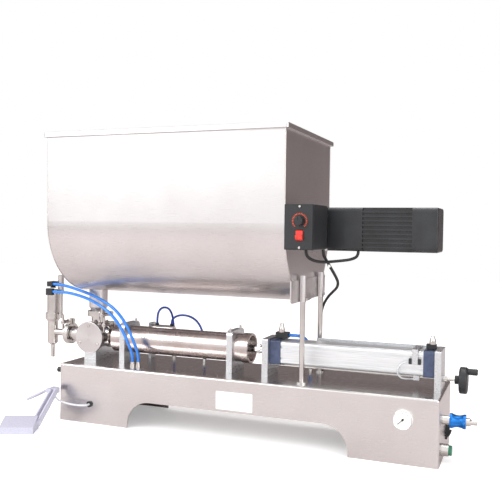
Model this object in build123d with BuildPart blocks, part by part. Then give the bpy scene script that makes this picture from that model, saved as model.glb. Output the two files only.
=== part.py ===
from build123d import *
import math
import os

# Piston liquid filler with a mixing hopper.
# +X runs along the machine from the nozzle to the handwheel, -Y is the operator's side, +Z is up.
# The origin is the centre of the base's footprint, at floor level. All sizes are in millimetres.

# ------------------------------------------------------------------ clearances and stock
RUN = 0.05  # radial running clearance of shafts, pistons and sleeves
SEAM = 0.5  # gap between the halves of a split bracket
SHEET = 2.0
PLATE = 3.0

# ------------------------------------------------------------------ base cabinet
BASE_L = 1004.0
BASE_D = 230.0
BASE_H = 153.0
BASE_CORNER_R = 8.0
BASE_TOP_R = 5.0
ARCH_L = 586.0
ARCH_H = 72.0
ARCH_R = 62.0
ARCH_X = 4.0
TAB = 44.0
TAB_T = 3.0
FLOOR_HOLE_R = 4.5
FLOOR_HOLE_INSET = 24.0
TRAY_GAP = 4.0
TRAY_OVERHANG = 20.0

# ------------------------------------------------------------------ filling axis
AXIS_Z = BASE_H + 61.0
TUBE_R = 36.5
BORE_R = 32.5
TUBE_X0 = -392.0
TUBE_X1 = -6.0
END_RING_R = 39.0
END_RING_T = 20.0
PISTON_L = 40.0
PISTON_SETBACK = 12.0  # from the open end of the cylinder to the piston, at rest
ROD_R = 9.5
ROD_NUT_X = 38.0
ROD_NUT_T = 7.0
ROD_NUT_R = 13.0

BRACKET_HALF_W = 42.0
BRACKET_T = 16.0
TUBE_BRACKET_XS = (-352.0, -33.8)
TUBE_BRACKET_TOP = 47.0

# ------------------------------------------------------------------ air cylinder
CAP_HALF = 31.0
FRONT_BRACKET_X = 63.8
FRONT_CAP_X0 = 72.0
BARREL_X0 = 101.0
BARREL_X1 = 453.0
REAR_CAP_X1 = 480.0
REAR_BRACKET_T = 15.0
BARREL_HALF = 29.0
AIR_BORE_R = 25.0
AIR_PISTON_T = 25.0
NOSE_R = 18.0
SLOT_W = 5.0
SLOT_DEPTH = 3.0
SLOT_OFFSET = 14.0
AIR_BRACKET_TOP = 34.0

# ------------------------------------------------------------------ fill-volume adjuster
SCREW_R = 4.0
SCREW_Z = AXIS_Z - CAP_HALF - SCREW_R - 0.5
SCREW_X0 = FRONT_BRACKET_X - BRACKET_T / 2
CARRIAGE_X = 434.0
CARRIAGE_W = 14.0
ARM_T = 3.0
ARM_GAP = 2.0
SENSOR_L = 28.0
SENSOR_H = 13.0
SENSOR_T = 7.0
WHEEL_R = 31.0
WHEEL_T = 19.0
WHEEL_X = 532.0
HUB_R = 10.0
GRIP_RADIUS = 21.0
GRIP_R = 7.5
GRIP_L = 22.0
RAIL_X0 = 176.0

# ------------------------------------------------------------------ valve, clamps and nozzle
PIPE_R = 19.0
PIPE_WALL = 1.6
FERRULE_R = 25.2
FERRULE_T = 3.2
GASKET_T = 1.5
CLAMP_R = 30.0
CLAMP_W = 14.0
CLAMP_LIP_R = 21.5
CLAMP_SPLIT = 4.0
VALVE_X = -455.0
VALVE_Z = AXIS_Z + 3.0
VALVE_BODY_R = 35.5
VALVE_Y0 = -40.0
VALVE_Y1 = 48.0
PLUG_R = 27.0
VALVE_PORT_R = 10.0
LAND_HALF_ANGLE = 40.0
LAND_CENTRE = 165.0
PLUG_CORE_R = 8.0
COVER_R = 43.5
COVER_T = 8.0
COVER_BOLT_R = 33.0
SPINDLE_R = 8.0
LEVER_Y = 62.0
LEVER_T = 8.0
LEVER_ARM = 22.0
VALVE_TURN = 60.0
YOKE_PIN_R = 3.0
YOKE_SLOT_PLAY = 1.2
STAND_W = 38.0
STAND_Y1 = 96.0
CYLINDER_JOINT_X = -412.0
NOZZLE_JOINT_X = -548.0
HOPPER_JOINT_Z = 280.0

NOZZLE_X = -610.0
NOZZLE_BODY_R = 15.0
NOZZLE_BODY_Z0 = 186.0
NOZZLE_TIP_R = 5.5
NOZZLE_TIP_Z = 144.0
COLLAR_R = 21.0
COLLAR_Z0 = 256.0
COLLAR_H = 16.0
NOZZLE_CYL_R = 16.5
NOZZLE_CYL_H = 68.0
NOZZLE_PIPE_R = 9.5
PLUNGER_R = 3.0
NOZZLE_SEAT_H = 6.0
POST_X = -583.0

MINI_R = 10.5
MINI_X0 = -312.0
MINI_L = 67.0
MINI_ROD_R = 3.0
MINI_PORT_TOP = 254.0

# ------------------------------------------------------------------ hopper and mixer
HOPPER_X0 = -486.0
HOPPER_X1 = 162.0
HOPPER_R = 190.0
HOPPER_CENTRE_Z = 537.0
HOPPER_TOP_Z = 765.0
RIM_W = 8.0
RIM_H = 12.0
OUTLET_X = -457.0
OUTLET_R = 25.5
SADDLE_HALF_W = 145.0
SADDLE_Z0 = 350.0
SADDLE_Z1 = 403.0
SADDLE_T = 3.0
LEG_Y = 78.0
LEG_R = 6.5
SLEEVE_R = 8.5
SLEEVE_Z1 = 414.0
SHAFT_R = 12.5
PADDLE_R = 172.0
PADDLE_W = 46.0
PADDLE_T = 4.0
PADDLE_COUNT = 5
ARM_ROD_R = 6.0

MOTOR_HALF = 52.0
MOTOR_DROP = 11.0
MOUNT_PLATE_X = 218.0
MOUNT_PLATE_T = 6.0
GEARBOX_X1 = 308.0
FINS_X1 = 424.0
FAN_X1 = 483.0
FIN_DEPTH = 5.0
FIN_PITCH = 10.4
CONTROLLER_X1 = 230.0
CONTROLLER_Y0 = -193.0
CONTROLLER_Y1 = -80.0
CONTROLLER_Z0 = 478.0
CONTROLLER_Z1 = 580.5
KNOB_X = 198.5
KNOB_Z = 543.0
KNOB_R = 10.5
KNOB_H = 14.0
ROCKER_Z = 511.0
ROCKER_HALF_W = 8.0
ROCKER_R = 12.0

# ------------------------------------------------------------------ panel fittings
GAUGE_X = 422.5
GAUGE_Z = 102.3
GAUGE_R = 22.0
GAUGE_PROUD = 12.0
NEEDLE_TAIL = 5.0
NEEDLE_REST = -135.0  # degrees clockwise from straight up, at no pressure
DIAL_R = 18.5
NEEDLE_L = 15.0
INLET_Y = -47.0
INLET_Z = 94.0
SLEEVE_L = 35.0
SLEEVE_FLANGE_R = 17.0
INLET_CORE_R = 9.0
INLET_TRAVEL = 8.0
SPIGOT_R = 5.5
SPIGOT_L = 12.0
BUTTON_Y = -55.0
BUTTON_Z = 27.0
BUTTON_BARREL_R = 13.5
BUTTON_R = 11.5
BUTTON_TRAVEL = 4.0
SWITCH_Y = 30.0
SWITCH_Z = 49.5
SWITCH_R = 15.0
SWITCH_HALF_W = 10.0
PEDAL_HOLE_X = -404.0
PEDAL_HOLE_Z = 51.5
LABEL_X = 12.0
LABEL_Z = 100.2
LABEL_W = 97.0
LABEL_H = 45.0

# ------------------------------------------------------------------ foot pedal
PEDAL_X = -497.0
PEDAL_Y = -208.0
PEDAL_ANGLE = 204.2
PEDAL_W = 84.0
PEDAL_DEPTH = 58.0
PEDAL_FRONT_H = 20.0
PEDAL_REAR_H = 34.0
PEDAL_HINGE_X = -512.0
PEDAL_HINGE_Y = -140.0
PEDAL_HINGE_Z = 85.0
PEDAL_TREAD_L = 78.0
PEDAL_TREAD_W = 46.0
PEDAL_TREAD_T = 4.0
PEDAL_SLOPE = 27.0
PEDAL_PIN_R = 3.0

# ------------------------------------------------------------------ cords
BLUE_TUBE_D = 8.0
THIN_TUBE_D = 6.0
SENSOR_CABLE_D = 4.0
LEAD_D = 7.0
PEDAL_CABLE_D = 5.0
COIL_R = 38.0
COIL_SECTION = 14.0
COIL_CENTRE = (250.0, 196.0)

BLUE_UPPER = [
    (-599, -14, 357), (-580, -14, 357), (-542, -21, 353), (-490, -38, 345), (-440, -54, 336),
    (-400, -67, 325), (-363, -75, 310), (-335, -79, 289), (-316, -79, 265), (-303, -75, 237),
    (-294, -67, 206), (-289, -61, 183), (-289, -61, 165),
]
BLUE_LOWER = [
    (-592, -24.5, 336), (-575, -24.5, 336), (-542, -31, 337), (-494, -46, 333), (-448, -62, 326),
    (-408, -74, 315), (-374, -82, 300), (-347, -86, 280), (-328, -86, 257), (-315, -82, 231),
    (-307, -75, 205), (-303, -67, 184), (-303, -67, 165),
]
VALVE_TUBE_LEFT = [
    (-300, 62, 254), (-300, 62, 272), (-296, 64, 290), (-285, 69, 299), (-272, 76, 296),
    (-265, 83, 281), (-262, 87, 259), (-261, 89, 230), (-260, 90, 198), (-260, 90, 163),
]
VALVE_TUBE_RIGHT = [
    (-254, 62, 254), (-254, 62, 264), (-246, 62, 273), (-230, 61, 280), (-207, 60, 281),
    (-184, 60, 274), (-167, 61, 258), (-158, 63, 236), (-154, 65, 210), (-153, 66, 186),
    (-153, 66, 163),
]
PORT_TUBE = [
    (112, 8, 254), (124, 8, 254), (138, 20, 252), (147, 36, 244), (150, 52, 228), (151, 62, 206),
    (150, 71, 184), (150, 71, 163),
]
SENSOR_CABLE = [
    (420, -33, 217), (411, -33, 217), (400, -35, 210), (394, -35, 198), (395, -31, 185),
    (401, -23, 176), (410, -13, 173), (419, -7, 173), (427, -7, 173),
]
MOTOR_LEAD = [
    (206, -168, 478), (206, -168, 466), (212, -150, 456), (220, -124, 450), (230, -96, 448),
    (243, -73, 449), (262, -58, 451), (282, -48, 454), (298, -44, 462), (298, -44, 474),
]
MAINS_LEAD = [
    (225, -92, 478), (225, -92, 466), (228, -78, 454), (233, -62, 438), (241, -42, 416),
    (243, -14, 396), (232, 18, 380), (212, 52, 366), (191, 80, 349), (174, 92, 323),
    (168.5, 93, 285), (169, 93.5, 245), (168.5, 93, 208), (170, 98, 181), (172, 112, 164),
    (175, 126, 146), (177, 130, 112), (182, 135, 76), (190, 139, 45), (202, 144, 21),
    (214, 149, 8), (230, 150.5, 4.5), (250, 151, 4.5),
]
PEDAL_CABLE = [
    (-497, -140, 78), (-497, -140, 68), (-489, -140, 60.5), (-476, -141, 56.5), (-461, -142, 54.5),
    (-446, -142, 53), (-431, -141, 52), (-417, -138, 51.5), (-404, -131, 51.5), (-404, -119, 51.5),
]


# ------------------------------------------------------------------ helpers
def along_x(x0, x1, y, z, radius, mode=Mode.ADD):
    """Round bar, or hole, parallel to X."""
    with Locations(((x0 + x1) / 2, y, z)):
        Cylinder(radius, x1 - x0, rotation=(0, 90, 0), mode=mode)


def along_y(y0, y1, x, z, radius, mode=Mode.ADD):
    """Round bar, or hole, parallel to Y."""
    with Locations((x, (y0 + y1) / 2, z)):
        Cylinder(radius, y1 - y0, rotation=(90, 0, 0), mode=mode)


def along_z(z0, z1, x, y, radius, mode=Mode.ADD):
    """Round bar, or hole, parallel to Z."""
    with Locations((x, y, (z0 + z1) / 2)):
        Cylinder(radius, z1 - z0, mode=mode)


def block(low, high, mode=Mode.ADD):
    """Box between two opposite corners."""
    with Locations(tuple((a + b) / 2 for a, b in zip(low, high))):
        Box(*(b - a for a, b in zip(low, high)), mode=mode)


def taper_x(x0, x1, y, z, r0, r1):
    """Cone frustum parallel to X, from radius r0 to radius r1."""
    with Locations(((x0 + x1) / 2, y, z)):
        Cone(r0, r1, x1 - x0, rotation=(0, 90, 0))


def taper_z(z0, z1, x, y, r0, r1):
    """Cone frustum parallel to Z, from radius r0 to radius r1."""
    with Locations((x, y, (z0 + z1) / 2)):
        Cone(r0, r1, z1 - z0)


def trough_outline(x, radius, top, length, mode=Mode.ADD):
    """U-shaped section of the hopper, extruded along X."""
    with BuildSketch(Plane.YZ.offset(x)) as section:
        with Locations((0, HOPPER_CENTRE_Z)):
            Circle(radius)
            Rectangle(2 * radius, top - HOPPER_CENTRE_Z, align=(Align.CENTER, Align.MIN))
    extrude(section.sketch, amount=length, mode=mode)


def cord(points, diameter):
    """Plain tube of straight runs joined by the largest tangent arcs that they allow."""
    corners = [Vector(*p) for p in points]
    radii = []
    for before, here, after in zip(corners, corners[1:], corners[2:]):
        turn = math.radians((here - before).get_angle(after - here))
        run = min((here - before).length, (after - here).length)
        radii.append(0.45 * run / math.tan(turn / 2))
    with BuildPart() as tube:
        with BuildLine() as route:
            FilletPolyline(*corners, radius=radii)
        with BuildSketch(Plane(origin=corners[0], z_dir=corners[1] - corners[0])):
            Circle(diameter / 2)
        sweep()
    length = route.wire().length
    expected = length * math.pi * diameter**2 / 4
    print(f"cord {diameter:.0f} mm, {length:.0f} mm long, tightest radius {min(radii):.0f} mm,",
          f"volume ratio {tube.part.volume / expected:.4f}")
    return tube


# ------------------------------------------------------------------ base cabinet and its inside
with BuildPart() as base_cabinet:
    with BuildSketch():
        RectangleRounded(BASE_L, BASE_D, BASE_CORNER_R)
    extrude(amount=BASE_H)
    fillet(base_cabinet.faces().sort_by(Axis.Z)[-1].edges(), BASE_TOP_R)
    offset(amount=-SHEET, openings=base_cabinet.faces().sort_by(Axis.Z)[0])
    with BuildSketch(Plane.XZ) as arch:
        with Locations((ARCH_X, 0)):
            Rectangle(ARCH_L, ARCH_H, align=(Align.CENTER, Align.MIN))
        fillet(arch.vertices().group_by(Axis.Y)[-1], ARCH_R)
    extrude(amount=BASE_D, both=True, mode=Mode.SUBTRACT)
    tab_x = BASE_L / 2 - SHEET - TAB / 2
    tab_y = BASE_D / 2 - SHEET - TAB / 2
    with GridLocations(2 * tab_x, 2 * tab_y, 2, 2):
        Box(TAB, TAB, TAB_T, align=(Align.CENTER, Align.CENTER, Align.MIN))
    with GridLocations(BASE_L - 2 * FLOOR_HOLE_INSET, BASE_D - 2 * FLOOR_HOLE_INSET, 2, 2):
        Cylinder(FLOOR_HOLE_R, 4 * TAB_T, mode=Mode.SUBTRACT)
    along_y(-BASE_D, -BASE_D / 2 + 2 * SHEET, GAUGE_X, GAUGE_Z, DIAL_R, Mode.SUBTRACT)
    along_y(-BASE_D, -BASE_D / 2 + 2 * SHEET, PEDAL_HOLE_X, PEDAL_HOLE_Z, 6, Mode.SUBTRACT)
    along_x(BASE_L / 2 - 2 * SHEET, BASE_L, INLET_Y, INLET_Z, 6.5, Mode.SUBTRACT)
    along_x(BASE_L / 2 - 2 * SHEET, BASE_L, BUTTON_Y, BUTTON_Z, 9, Mode.SUBTRACT)
    block((BASE_L / 2 - 2 * SHEET, SWITCH_Y - SWITCH_HALF_W - 1, SWITCH_Z - SWITCH_R - 1),
          (BASE_L, SWITCH_Y + SWITCH_HALF_W + 1, SWITCH_Z + SWITCH_R + 1), Mode.SUBTRACT)

with BuildPart() as inner_tray:
    tray_z = ARCH_H + TRAY_GAP
    block((ARCH_X - ARCH_L / 2 - TRAY_OVERHANG, -BASE_D / 2 + SHEET, tray_z),
          (ARCH_X + ARCH_L / 2 + TRAY_OVERHANG, BASE_D / 2 - SHEET, tray_z + SHEET))

with BuildPart() as control_valves:
    valve_floor = ARCH_H + TRAY_GAP + SHEET
    for valve_x in (-180.0, 60.0):
        block((valve_x - 55, -12, valve_floor), (valve_x + 55, 22, valve_floor + 38))
        along_x(valve_x - 68, valve_x - 55, 5, valve_floor + 19, 14)
        along_x(valve_x + 55, valve_x + 68, 5, valve_floor + 19, 14)
    fillet(control_valves.edges().filter_by(Axis.X).group_by(Axis.Z)[-1], 3)

with BuildPart() as label_plate:
    front = -BASE_D / 2
    block((LABEL_X - LABEL_W / 2, front - 0.8, LABEL_Z - LABEL_H / 2),
          (LABEL_X + LABEL_W / 2, front, LABEL_Z + LABEL_H / 2))
    fillet(label_plate.edges().filter_by(Axis.Y), 2)
    for rivet_x in (LABEL_X - LABEL_W / 2 + 5, LABEL_X + LABEL_W / 2 - 5):
        for rivet_z in (LABEL_Z - LABEL_H / 2 + 5, LABEL_Z + LABEL_H / 2 - 5):
            along_y(front - 1.6, front - 0.8, rivet_x, rivet_z, 1.6)

# ------------------------------------------------------------------ panel fittings
with BuildPart() as gauge_case:
    front = -BASE_D / 2
    along_y(front - GAUGE_PROUD, front, GAUGE_X, GAUGE_Z, GAUGE_R)
    fillet(gauge_case.edges().group_by(Axis.Y)[0], 2.5)
    along_y(front, front + 22, GAUGE_X, GAUGE_Z, DIAL_R - 0.3)
    along_y(front + 22, front + 40, GAUGE_X, GAUGE_Z, 5)
    block((GAUGE_X - 21, front + 40, GAUGE_Z - 21), (GAUGE_X + 21, front + 82, GAUGE_Z + 30))
    along_z(GAUGE_Z - 75, GAUGE_Z - 21, GAUGE_X, front + 61, 17)
    along_y(front - GAUGE_PROUD, front - GAUGE_PROUD + 7, GAUGE_X, GAUGE_Z, DIAL_R, Mode.SUBTRACT)

with BuildPart() as gauge_needle:
    dial_y = front - GAUGE_PROUD + 7
    along_y(dial_y - 3.2, dial_y - 0.6, GAUGE_X, GAUGE_Z, 2.6)
    with Locations(Location((GAUGE_X, dial_y - 1.9, GAUGE_Z), (0, NEEDLE_REST, 0))
                   * Location((0, 0, (NEEDLE_L - NEEDLE_TAIL) / 2))):
        Box(1.4, 1.0, NEEDLE_L + NEEDLE_TAIL)

with BuildPart() as panel_valves:
    end = BASE_L / 2
    along_x(end - 14, end, INLET_Y, INLET_Z, 6.4)
    along_x(end - 12, end - SHEET, INLET_Y, INLET_Z, 10)
    taper_x(end, end + 15, INLET_Y, INLET_Z, 10.5, 9.5)
    core_x1 = end + 16 + SLEEVE_L + INLET_TRAVEL
    along_x(end + 15, core_x1, INLET_Y, INLET_Z, INLET_CORE_R)
    taper_x(core_x1, core_x1 + 4, INLET_Y, INLET_Z, INLET_CORE_R - 0.5, SPIGOT_R)
    along_x(core_x1 + 4, core_x1 + 4 + SPIGOT_L, INLET_Y, INLET_Z, SPIGOT_R)
    along_x(end - 20, core_x1 + 6 + SPIGOT_L, INLET_Y, INLET_Z, SPIGOT_R - 1.5, Mode.SUBTRACT)
    along_x(end - 12, end, BUTTON_Y, BUTTON_Z, 8.9)
    taper_x(end, end + 15, BUTTON_Y, BUTTON_Z, BUTTON_BARREL_R + 0.8, BUTTON_BARREL_R)
    along_x(end + 15 - BUTTON_TRAVEL - 1.5, end + 20, BUTTON_Y, BUTTON_Z, BUTTON_R + 0.3, Mode.SUBTRACT)
    along_x(end - 20, end + 20, BUTTON_Y, BUTTON_Z, 5 + RUN, Mode.SUBTRACT)

with BuildPart() as slide_sleeve:
    sleeve_x = BASE_L / 2 + 15.5
    with BuildSketch(Plane.XZ.offset(-INLET_Y)):
        with BuildLine():
            bottom = INLET_Z + INLET_CORE_R + RUN
            Polyline((sleeve_x, bottom), (sleeve_x, INLET_Z + SLEEVE_FLANGE_R),
                     (sleeve_x + 5, INLET_Z + SLEEVE_FLANGE_R))
            ThreePointArc((sleeve_x + 5, INLET_Z + SLEEVE_FLANGE_R),
                          (sleeve_x + SLEEVE_L / 2, INLET_Z + SLEEVE_FLANGE_R - 3.5),
                          (sleeve_x + SLEEVE_L - 5, INLET_Z + SLEEVE_FLANGE_R - 0.5))
            Polyline((sleeve_x + SLEEVE_L - 5, INLET_Z + SLEEVE_FLANGE_R - 0.5),
                     (sleeve_x + SLEEVE_L, INLET_Z + SLEEVE_FLANGE_R - 0.5),
                     (sleeve_x + SLEEVE_L, bottom), (sleeve_x, bottom))
        make_face()
    revolve(axis=Axis((0, INLET_Y, INLET_Z), (1, 0, 0)))

with BuildPart() as green_button:
    along_x(end + 15 - 1.0, end + 22, BUTTON_Y, BUTTON_Z, BUTTON_R)
    fillet(green_button.edges().group_by(Axis.X)[-1], 1.5)
    along_x(end - 4, end + 15, BUTTON_Y, BUTTON_Z, 5)

with BuildPart() as panel_grommets:
    block((end, SWITCH_Y - SWITCH_HALF_W - 4, SWITCH_Z - SWITCH_R - 4),
          (end + 3, SWITCH_Y + SWITCH_HALF_W + 4, SWITCH_Z + SWITCH_R + 4))
    fillet(panel_grommets.edges().filter_by(Axis.X), 4)
    block((end - 1, SWITCH_Y - SWITCH_HALF_W - 0.5, SWITCH_Z - SWITCH_R - 0.5),
          (end + 4, SWITCH_Y + SWITCH_HALF_W + 0.5, SWITCH_Z + SWITCH_R + 0.5), Mode.SUBTRACT)
    along_x(-end - 12, -end, -102, 133, 7)
    along_y(front - 4, front, PEDAL_HOLE_X, PEDAL_HOLE_Z, 8)
    along_y(front, front + 6, PEDAL_HOLE_X, PEDAL_HOLE_Z, 5.9)

with BuildPart() as power_rocker:
    along_y(SWITCH_Y - SWITCH_HALF_W, SWITCH_Y + SWITCH_HALF_W, end - 3, SWITCH_Z, SWITCH_R)
    with BuildSketch(Plane.XZ.offset(-SWITCH_Y)):
        with BuildLine():
            Polyline((end + 7, SWITCH_Z), (end + 11, SWITCH_Z + 30), (end + 40, SWITCH_Z + 30),
                     (end + 40, SWITCH_Z), (end + 7, SWITCH_Z))
        make_face()
    extrude(amount=SWITCH_HALF_W * 2, both=True, mode=Mode.SUBTRACT)

BULKHEADS = ((-289.0, -61.0), (-303.0, -67.0), (-260.0, 90.0), (-153.0, 66.0), (150.0, 71.0))
FLOW_CONES = ((94.0, 0.0, 262.0, 285.0), (470.0, 0.0, 258.0, 277.0))
with BuildPart() as silver_fittings:
    for fitting_x, fitting_y in BULKHEADS:
        along_z(BASE_H, BASE_H + 6, fitting_x, fitting_y, 6.8)
        along_z(BASE_H + 6, BASE_H + 10, fitting_x, fitting_y, 5.6)
    for fitting_x, fitting_y in BULKHEADS[:2]:
        along_z(BASE_H + 10, BASE_H + 12, fitting_x, fitting_y, 5.6)
    for cone_x, cone_y, cone_z0, cone_z1 in FLOW_CONES:
        along_z(cone_z0, cone_z0 + 8, cone_x, cone_y, 8)
        taper_z(cone_z0 + 8, cone_z1, cone_x, cone_y, 7.5, 4)

# ------------------------------------------------------------------ product cylinder
with BuildPart() as product_cylinder:
    along_x(TUBE_X0, TUBE_X1, 0, AXIS_Z, TUBE_R)
    along_x(TUBE_X1 - 1, TUBE_X1 + END_RING_T, 0, AXIS_Z, END_RING_R)
    along_x(TUBE_X0 + 8, TUBE_X1 + END_RING_T + 1, 0, AXIS_Z, BORE_R, Mode.SUBTRACT)
    along_x(CYLINDER_JOINT_X + GASKET_T / 2, CYLINDER_JOINT_X + GASKET_T / 2 + FERRULE_T, 0,
            VALVE_Z, FERRULE_R)
    along_x(CYLINDER_JOINT_X + GASKET_T / 2, TUBE_X0, 0, VALVE_Z, PIPE_R)
    along_x(CYLINDER_JOINT_X, TUBE_X0 + 9, 0, VALVE_Z, PIPE_R - PIPE_WALL, Mode.SUBTRACT)
    fillet(product_cylinder.edges().group_by(Axis.X)[-1], 1)

with BuildPart() as cylinder_supports:
    for bracket_x in TUBE_BRACKET_XS:
        block((bracket_x - BRACKET_T / 2, -BRACKET_HALF_W, BASE_H),
              (bracket_x + BRACKET_T / 2, BRACKET_HALF_W, AXIS_Z - SEAM / 2))
    along_x(TUBE_X0, TUBE_X1, 0, AXIS_Z, TUBE_R, Mode.SUBTRACT)
    block((VALVE_X - STAND_W / 2, VALVE_Y0, BASE_H), (VALVE_X + STAND_W / 2, STAND_Y1, VALVE_Z - 20))
    along_y(VALVE_Y0 - COVER_T - 9, VALVE_Y1 + 12, VALVE_X, VALVE_Z, VALVE_BODY_R, Mode.SUBTRACT)
    block((VALVE_X - STAND_W, VALVE_Y1 + 4, BASE_H + 20), (VALVE_X + STAND_W, STAND_Y1 + 1, VALVE_Z),
          Mode.SUBTRACT)
    block((MINI_X0 - 8, LEVER_Y - 14, BASE_H), (MINI_X0, LEVER_Y + 14, VALVE_Z + LEVER_ARM + 16))
    along_x(MINI_X0 - 9, MINI_X0 + 1, LEVER_Y, VALVE_Z + LEVER_ARM, 9, Mode.SUBTRACT)

with BuildPart() as bracket_caps:
    for bracket_x in TUBE_BRACKET_XS:
        block((bracket_x - BRACKET_T / 2, -BRACKET_HALF_W, AXIS_Z + SEAM / 2),
              (bracket_x + BRACKET_T / 2, BRACKET_HALF_W, AXIS_Z + TUBE_BRACKET_TOP))
    fillet(bracket_caps.edges().filter_by(Axis.X).group_by(Axis.Z)[-1], 14)
    for bracket_x in TUBE_BRACKET_XS:
        for side in (-1, 1):
            along_z(AXIS_Z + TUBE_BRACKET_TOP - 8, AXIS_Z + TUBE_BRACKET_TOP, bracket_x,
                    side * (BRACKET_HALF_W - 8), 3, Mode.SUBTRACT)
    along_x(TUBE_X0, TUBE_X1, 0, AXIS_Z, TUBE_R, Mode.SUBTRACT)

# ------------------------------------------------------------------ air cylinder
with BuildPart() as air_cylinder_brackets:
    block((FRONT_BRACKET_X - BRACKET_T / 2, -BRACKET_HALF_W, BASE_H),
          (FRONT_BRACKET_X + BRACKET_T / 2, BRACKET_HALF_W, AXIS_Z + AIR_BRACKET_TOP))
    block((REAR_CAP_X1, -BRACKET_HALF_W, BASE_H),
          (REAR_CAP_X1 + REAR_BRACKET_T, BRACKET_HALF_W, AXIS_Z + AIR_BRACKET_TOP))
    fillet(air_cylinder_brackets.edges().filter_by(Axis.X).group_by(Axis.Z)[-1], 4)
    along_x(FRONT_BRACKET_X - BRACKET_T, FRONT_BRACKET_X + BRACKET_T, 0, AXIS_Z, NOSE_R, Mode.SUBTRACT)
    along_x(SCREW_X0 - 1, REAR_CAP_X1 + REAR_BRACKET_T + 1, 0, SCREW_Z, SCREW_R + RUN, Mode.SUBTRACT)
    block((RAIL_X0, BARREL_HALF + ARM_GAP + ARM_T + 3, AXIS_Z + 14), (REAR_CAP_X1, BRACKET_HALF_W, AXIS_Z + 33))

with BuildPart() as air_cylinder_caps:
    block((FRONT_CAP_X0, -CAP_HALF, AXIS_Z - CAP_HALF), (BARREL_X0, CAP_HALF, AXIS_Z + CAP_HALF))
    block((BARREL_X1, -CAP_HALF, AXIS_Z - CAP_HALF), (REAR_CAP_X1, CAP_HALF, AXIS_Z + CAP_HALF))
    fillet(air_cylinder_caps.edges().filter_by(Axis.X), 5)
    along_x(FRONT_BRACKET_X - BRACKET_T / 2, FRONT_CAP_X0, 0, AXIS_Z, NOSE_R)
    along_x(FRONT_BRACKET_X - BRACKET_T, BARREL_X0 + 1, 0, AXIS_Z, ROD_R + RUN, Mode.SUBTRACT)

with BuildPart() as air_cylinder_barrel:
    with BuildSketch(Plane.YZ.offset(BARREL_X0)):
        with Locations((0, AXIS_Z)):
            RectangleRounded(2 * BARREL_HALF, 2 * BARREL_HALF, 8)
            Circle(AIR_BORE_R, mode=Mode.SUBTRACT)
            for side_y, side_z in ((1, 1), (1, -1), (-1, 1), (-1, -1)):
                with Locations((side_y * BARREL_HALF, side_z * SLOT_OFFSET)):
                    Rectangle(2 * SLOT_DEPTH, SLOT_W, mode=Mode.SUBTRACT)
    extrude(amount=BARREL_X1 - BARREL_X0)

AIR_PISTON_X1 = BARREL_X1 - 5.0
PISTON_X1 = TUBE_X1 + END_RING_T - PISTON_SETBACK
with BuildPart() as piston_rod:
    along_x(PISTON_X1 - PISTON_L, AIR_PISTON_X1 - AIR_PISTON_T, 0, AXIS_Z, ROD_R)
    along_x(AIR_PISTON_X1 - AIR_PISTON_T, AIR_PISTON_X1, 0, AXIS_Z, AIR_BORE_R - RUN)
    with BuildSketch(Plane.YZ.offset(ROD_NUT_X - ROD_NUT_T)):
        with Locations((0, AXIS_Z)):
            RegularPolygon(ROD_NUT_R, 6)
    extrude(amount=ROD_NUT_T)

with BuildPart() as product_piston:
    along_x(PISTON_X1 - PISTON_L, PISTON_X1, 0, AXIS_Z, BORE_R - RUN)
    for groove_x in (PISTON_X1 - 32, PISTON_X1 - 12):
        along_x(groove_x, groove_x + 4, 0, AXIS_Z, BORE_R + 5, Mode.SUBTRACT)
        along_x(groove_x, groove_x + 4, 0, AXIS_Z, BORE_R - 3)
    for groove_x in (PISTON_X1 - 32, PISTON_X1 - 12):
        along_x(groove_x + 0.4, groove_x + 3.6, 0, AXIS_Z, BORE_R - RUN)
    along_x(PISTON_X1 - PISTON_L - 1, PISTON_X1 + 1, 0, AXIS_Z, ROD_R, Mode.SUBTRACT)

# ------------------------------------------------------------------ fill-volume adjuster
with BuildPart() as lead_screw:
    along_x(SCREW_X0, WHEEL_X, 0, SCREW_Z, SCREW_R)
    bearing_x = REAR_CAP_X1 + REAR_BRACKET_T
    along_x(bearing_x + 0.3, bearing_x + 9, 0, SCREW_Z, 7.5)

with BuildPart() as handwheel:
    along_x(WHEEL_X - 10, WHEEL_X, 0, SCREW_Z, HUB_R)
    along_x(WHEEL_X, WHEEL_X + WHEEL_T, 0, SCREW_Z, WHEEL_R)
    fillet(handwheel.edges().filter_by(GeomType.CIRCLE).sort_by(SortBy.RADIUS)[-2:], 5)
    along_x(WHEEL_X + WHEEL_T, WHEEL_X + WHEEL_T + GRIP_L, 0, SCREW_Z + GRIP_RADIUS, GRIP_R)
    fillet(handwheel.edges().group_by(Axis.X)[-1], 3)
    along_x(WHEEL_X - 11, WHEEL_X, 0, SCREW_Z, SCREW_R, Mode.SUBTRACT)

with BuildPart() as sensor_carriage:
    arm_y0 = BARREL_HALF + ARM_GAP
    arm_z1 = AXIS_Z + BARREL_HALF + ARM_GAP
    low_z = SCREW_Z - 8
    x0 = CARRIAGE_X - CARRIAGE_W / 2
    x1 = CARRIAGE_X + CARRIAGE_W / 2
    block((x0, -9, low_z), (x1, 9, SCREW_Z + 3.6))
    block((x0, 0, low_z), (x1, arm_y0 + ARM_T, low_z + ARM_T))
    block((x0, arm_y0, low_z), (x1, arm_y0 + ARM_T, arm_z1 + ARM_T))
    block((x0, -arm_y0 - ARM_T, arm_z1), (x1, arm_y0 + ARM_T, arm_z1 + ARM_T))
    block((x0, -arm_y0 - ARM_T, AXIS_Z - 2), (x1, -arm_y0, arm_z1 + ARM_T))
    along_x(x0 - 1, x1 + 1, 0, SCREW_Z, SCREW_R + RUN, Mode.SUBTRACT)

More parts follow.
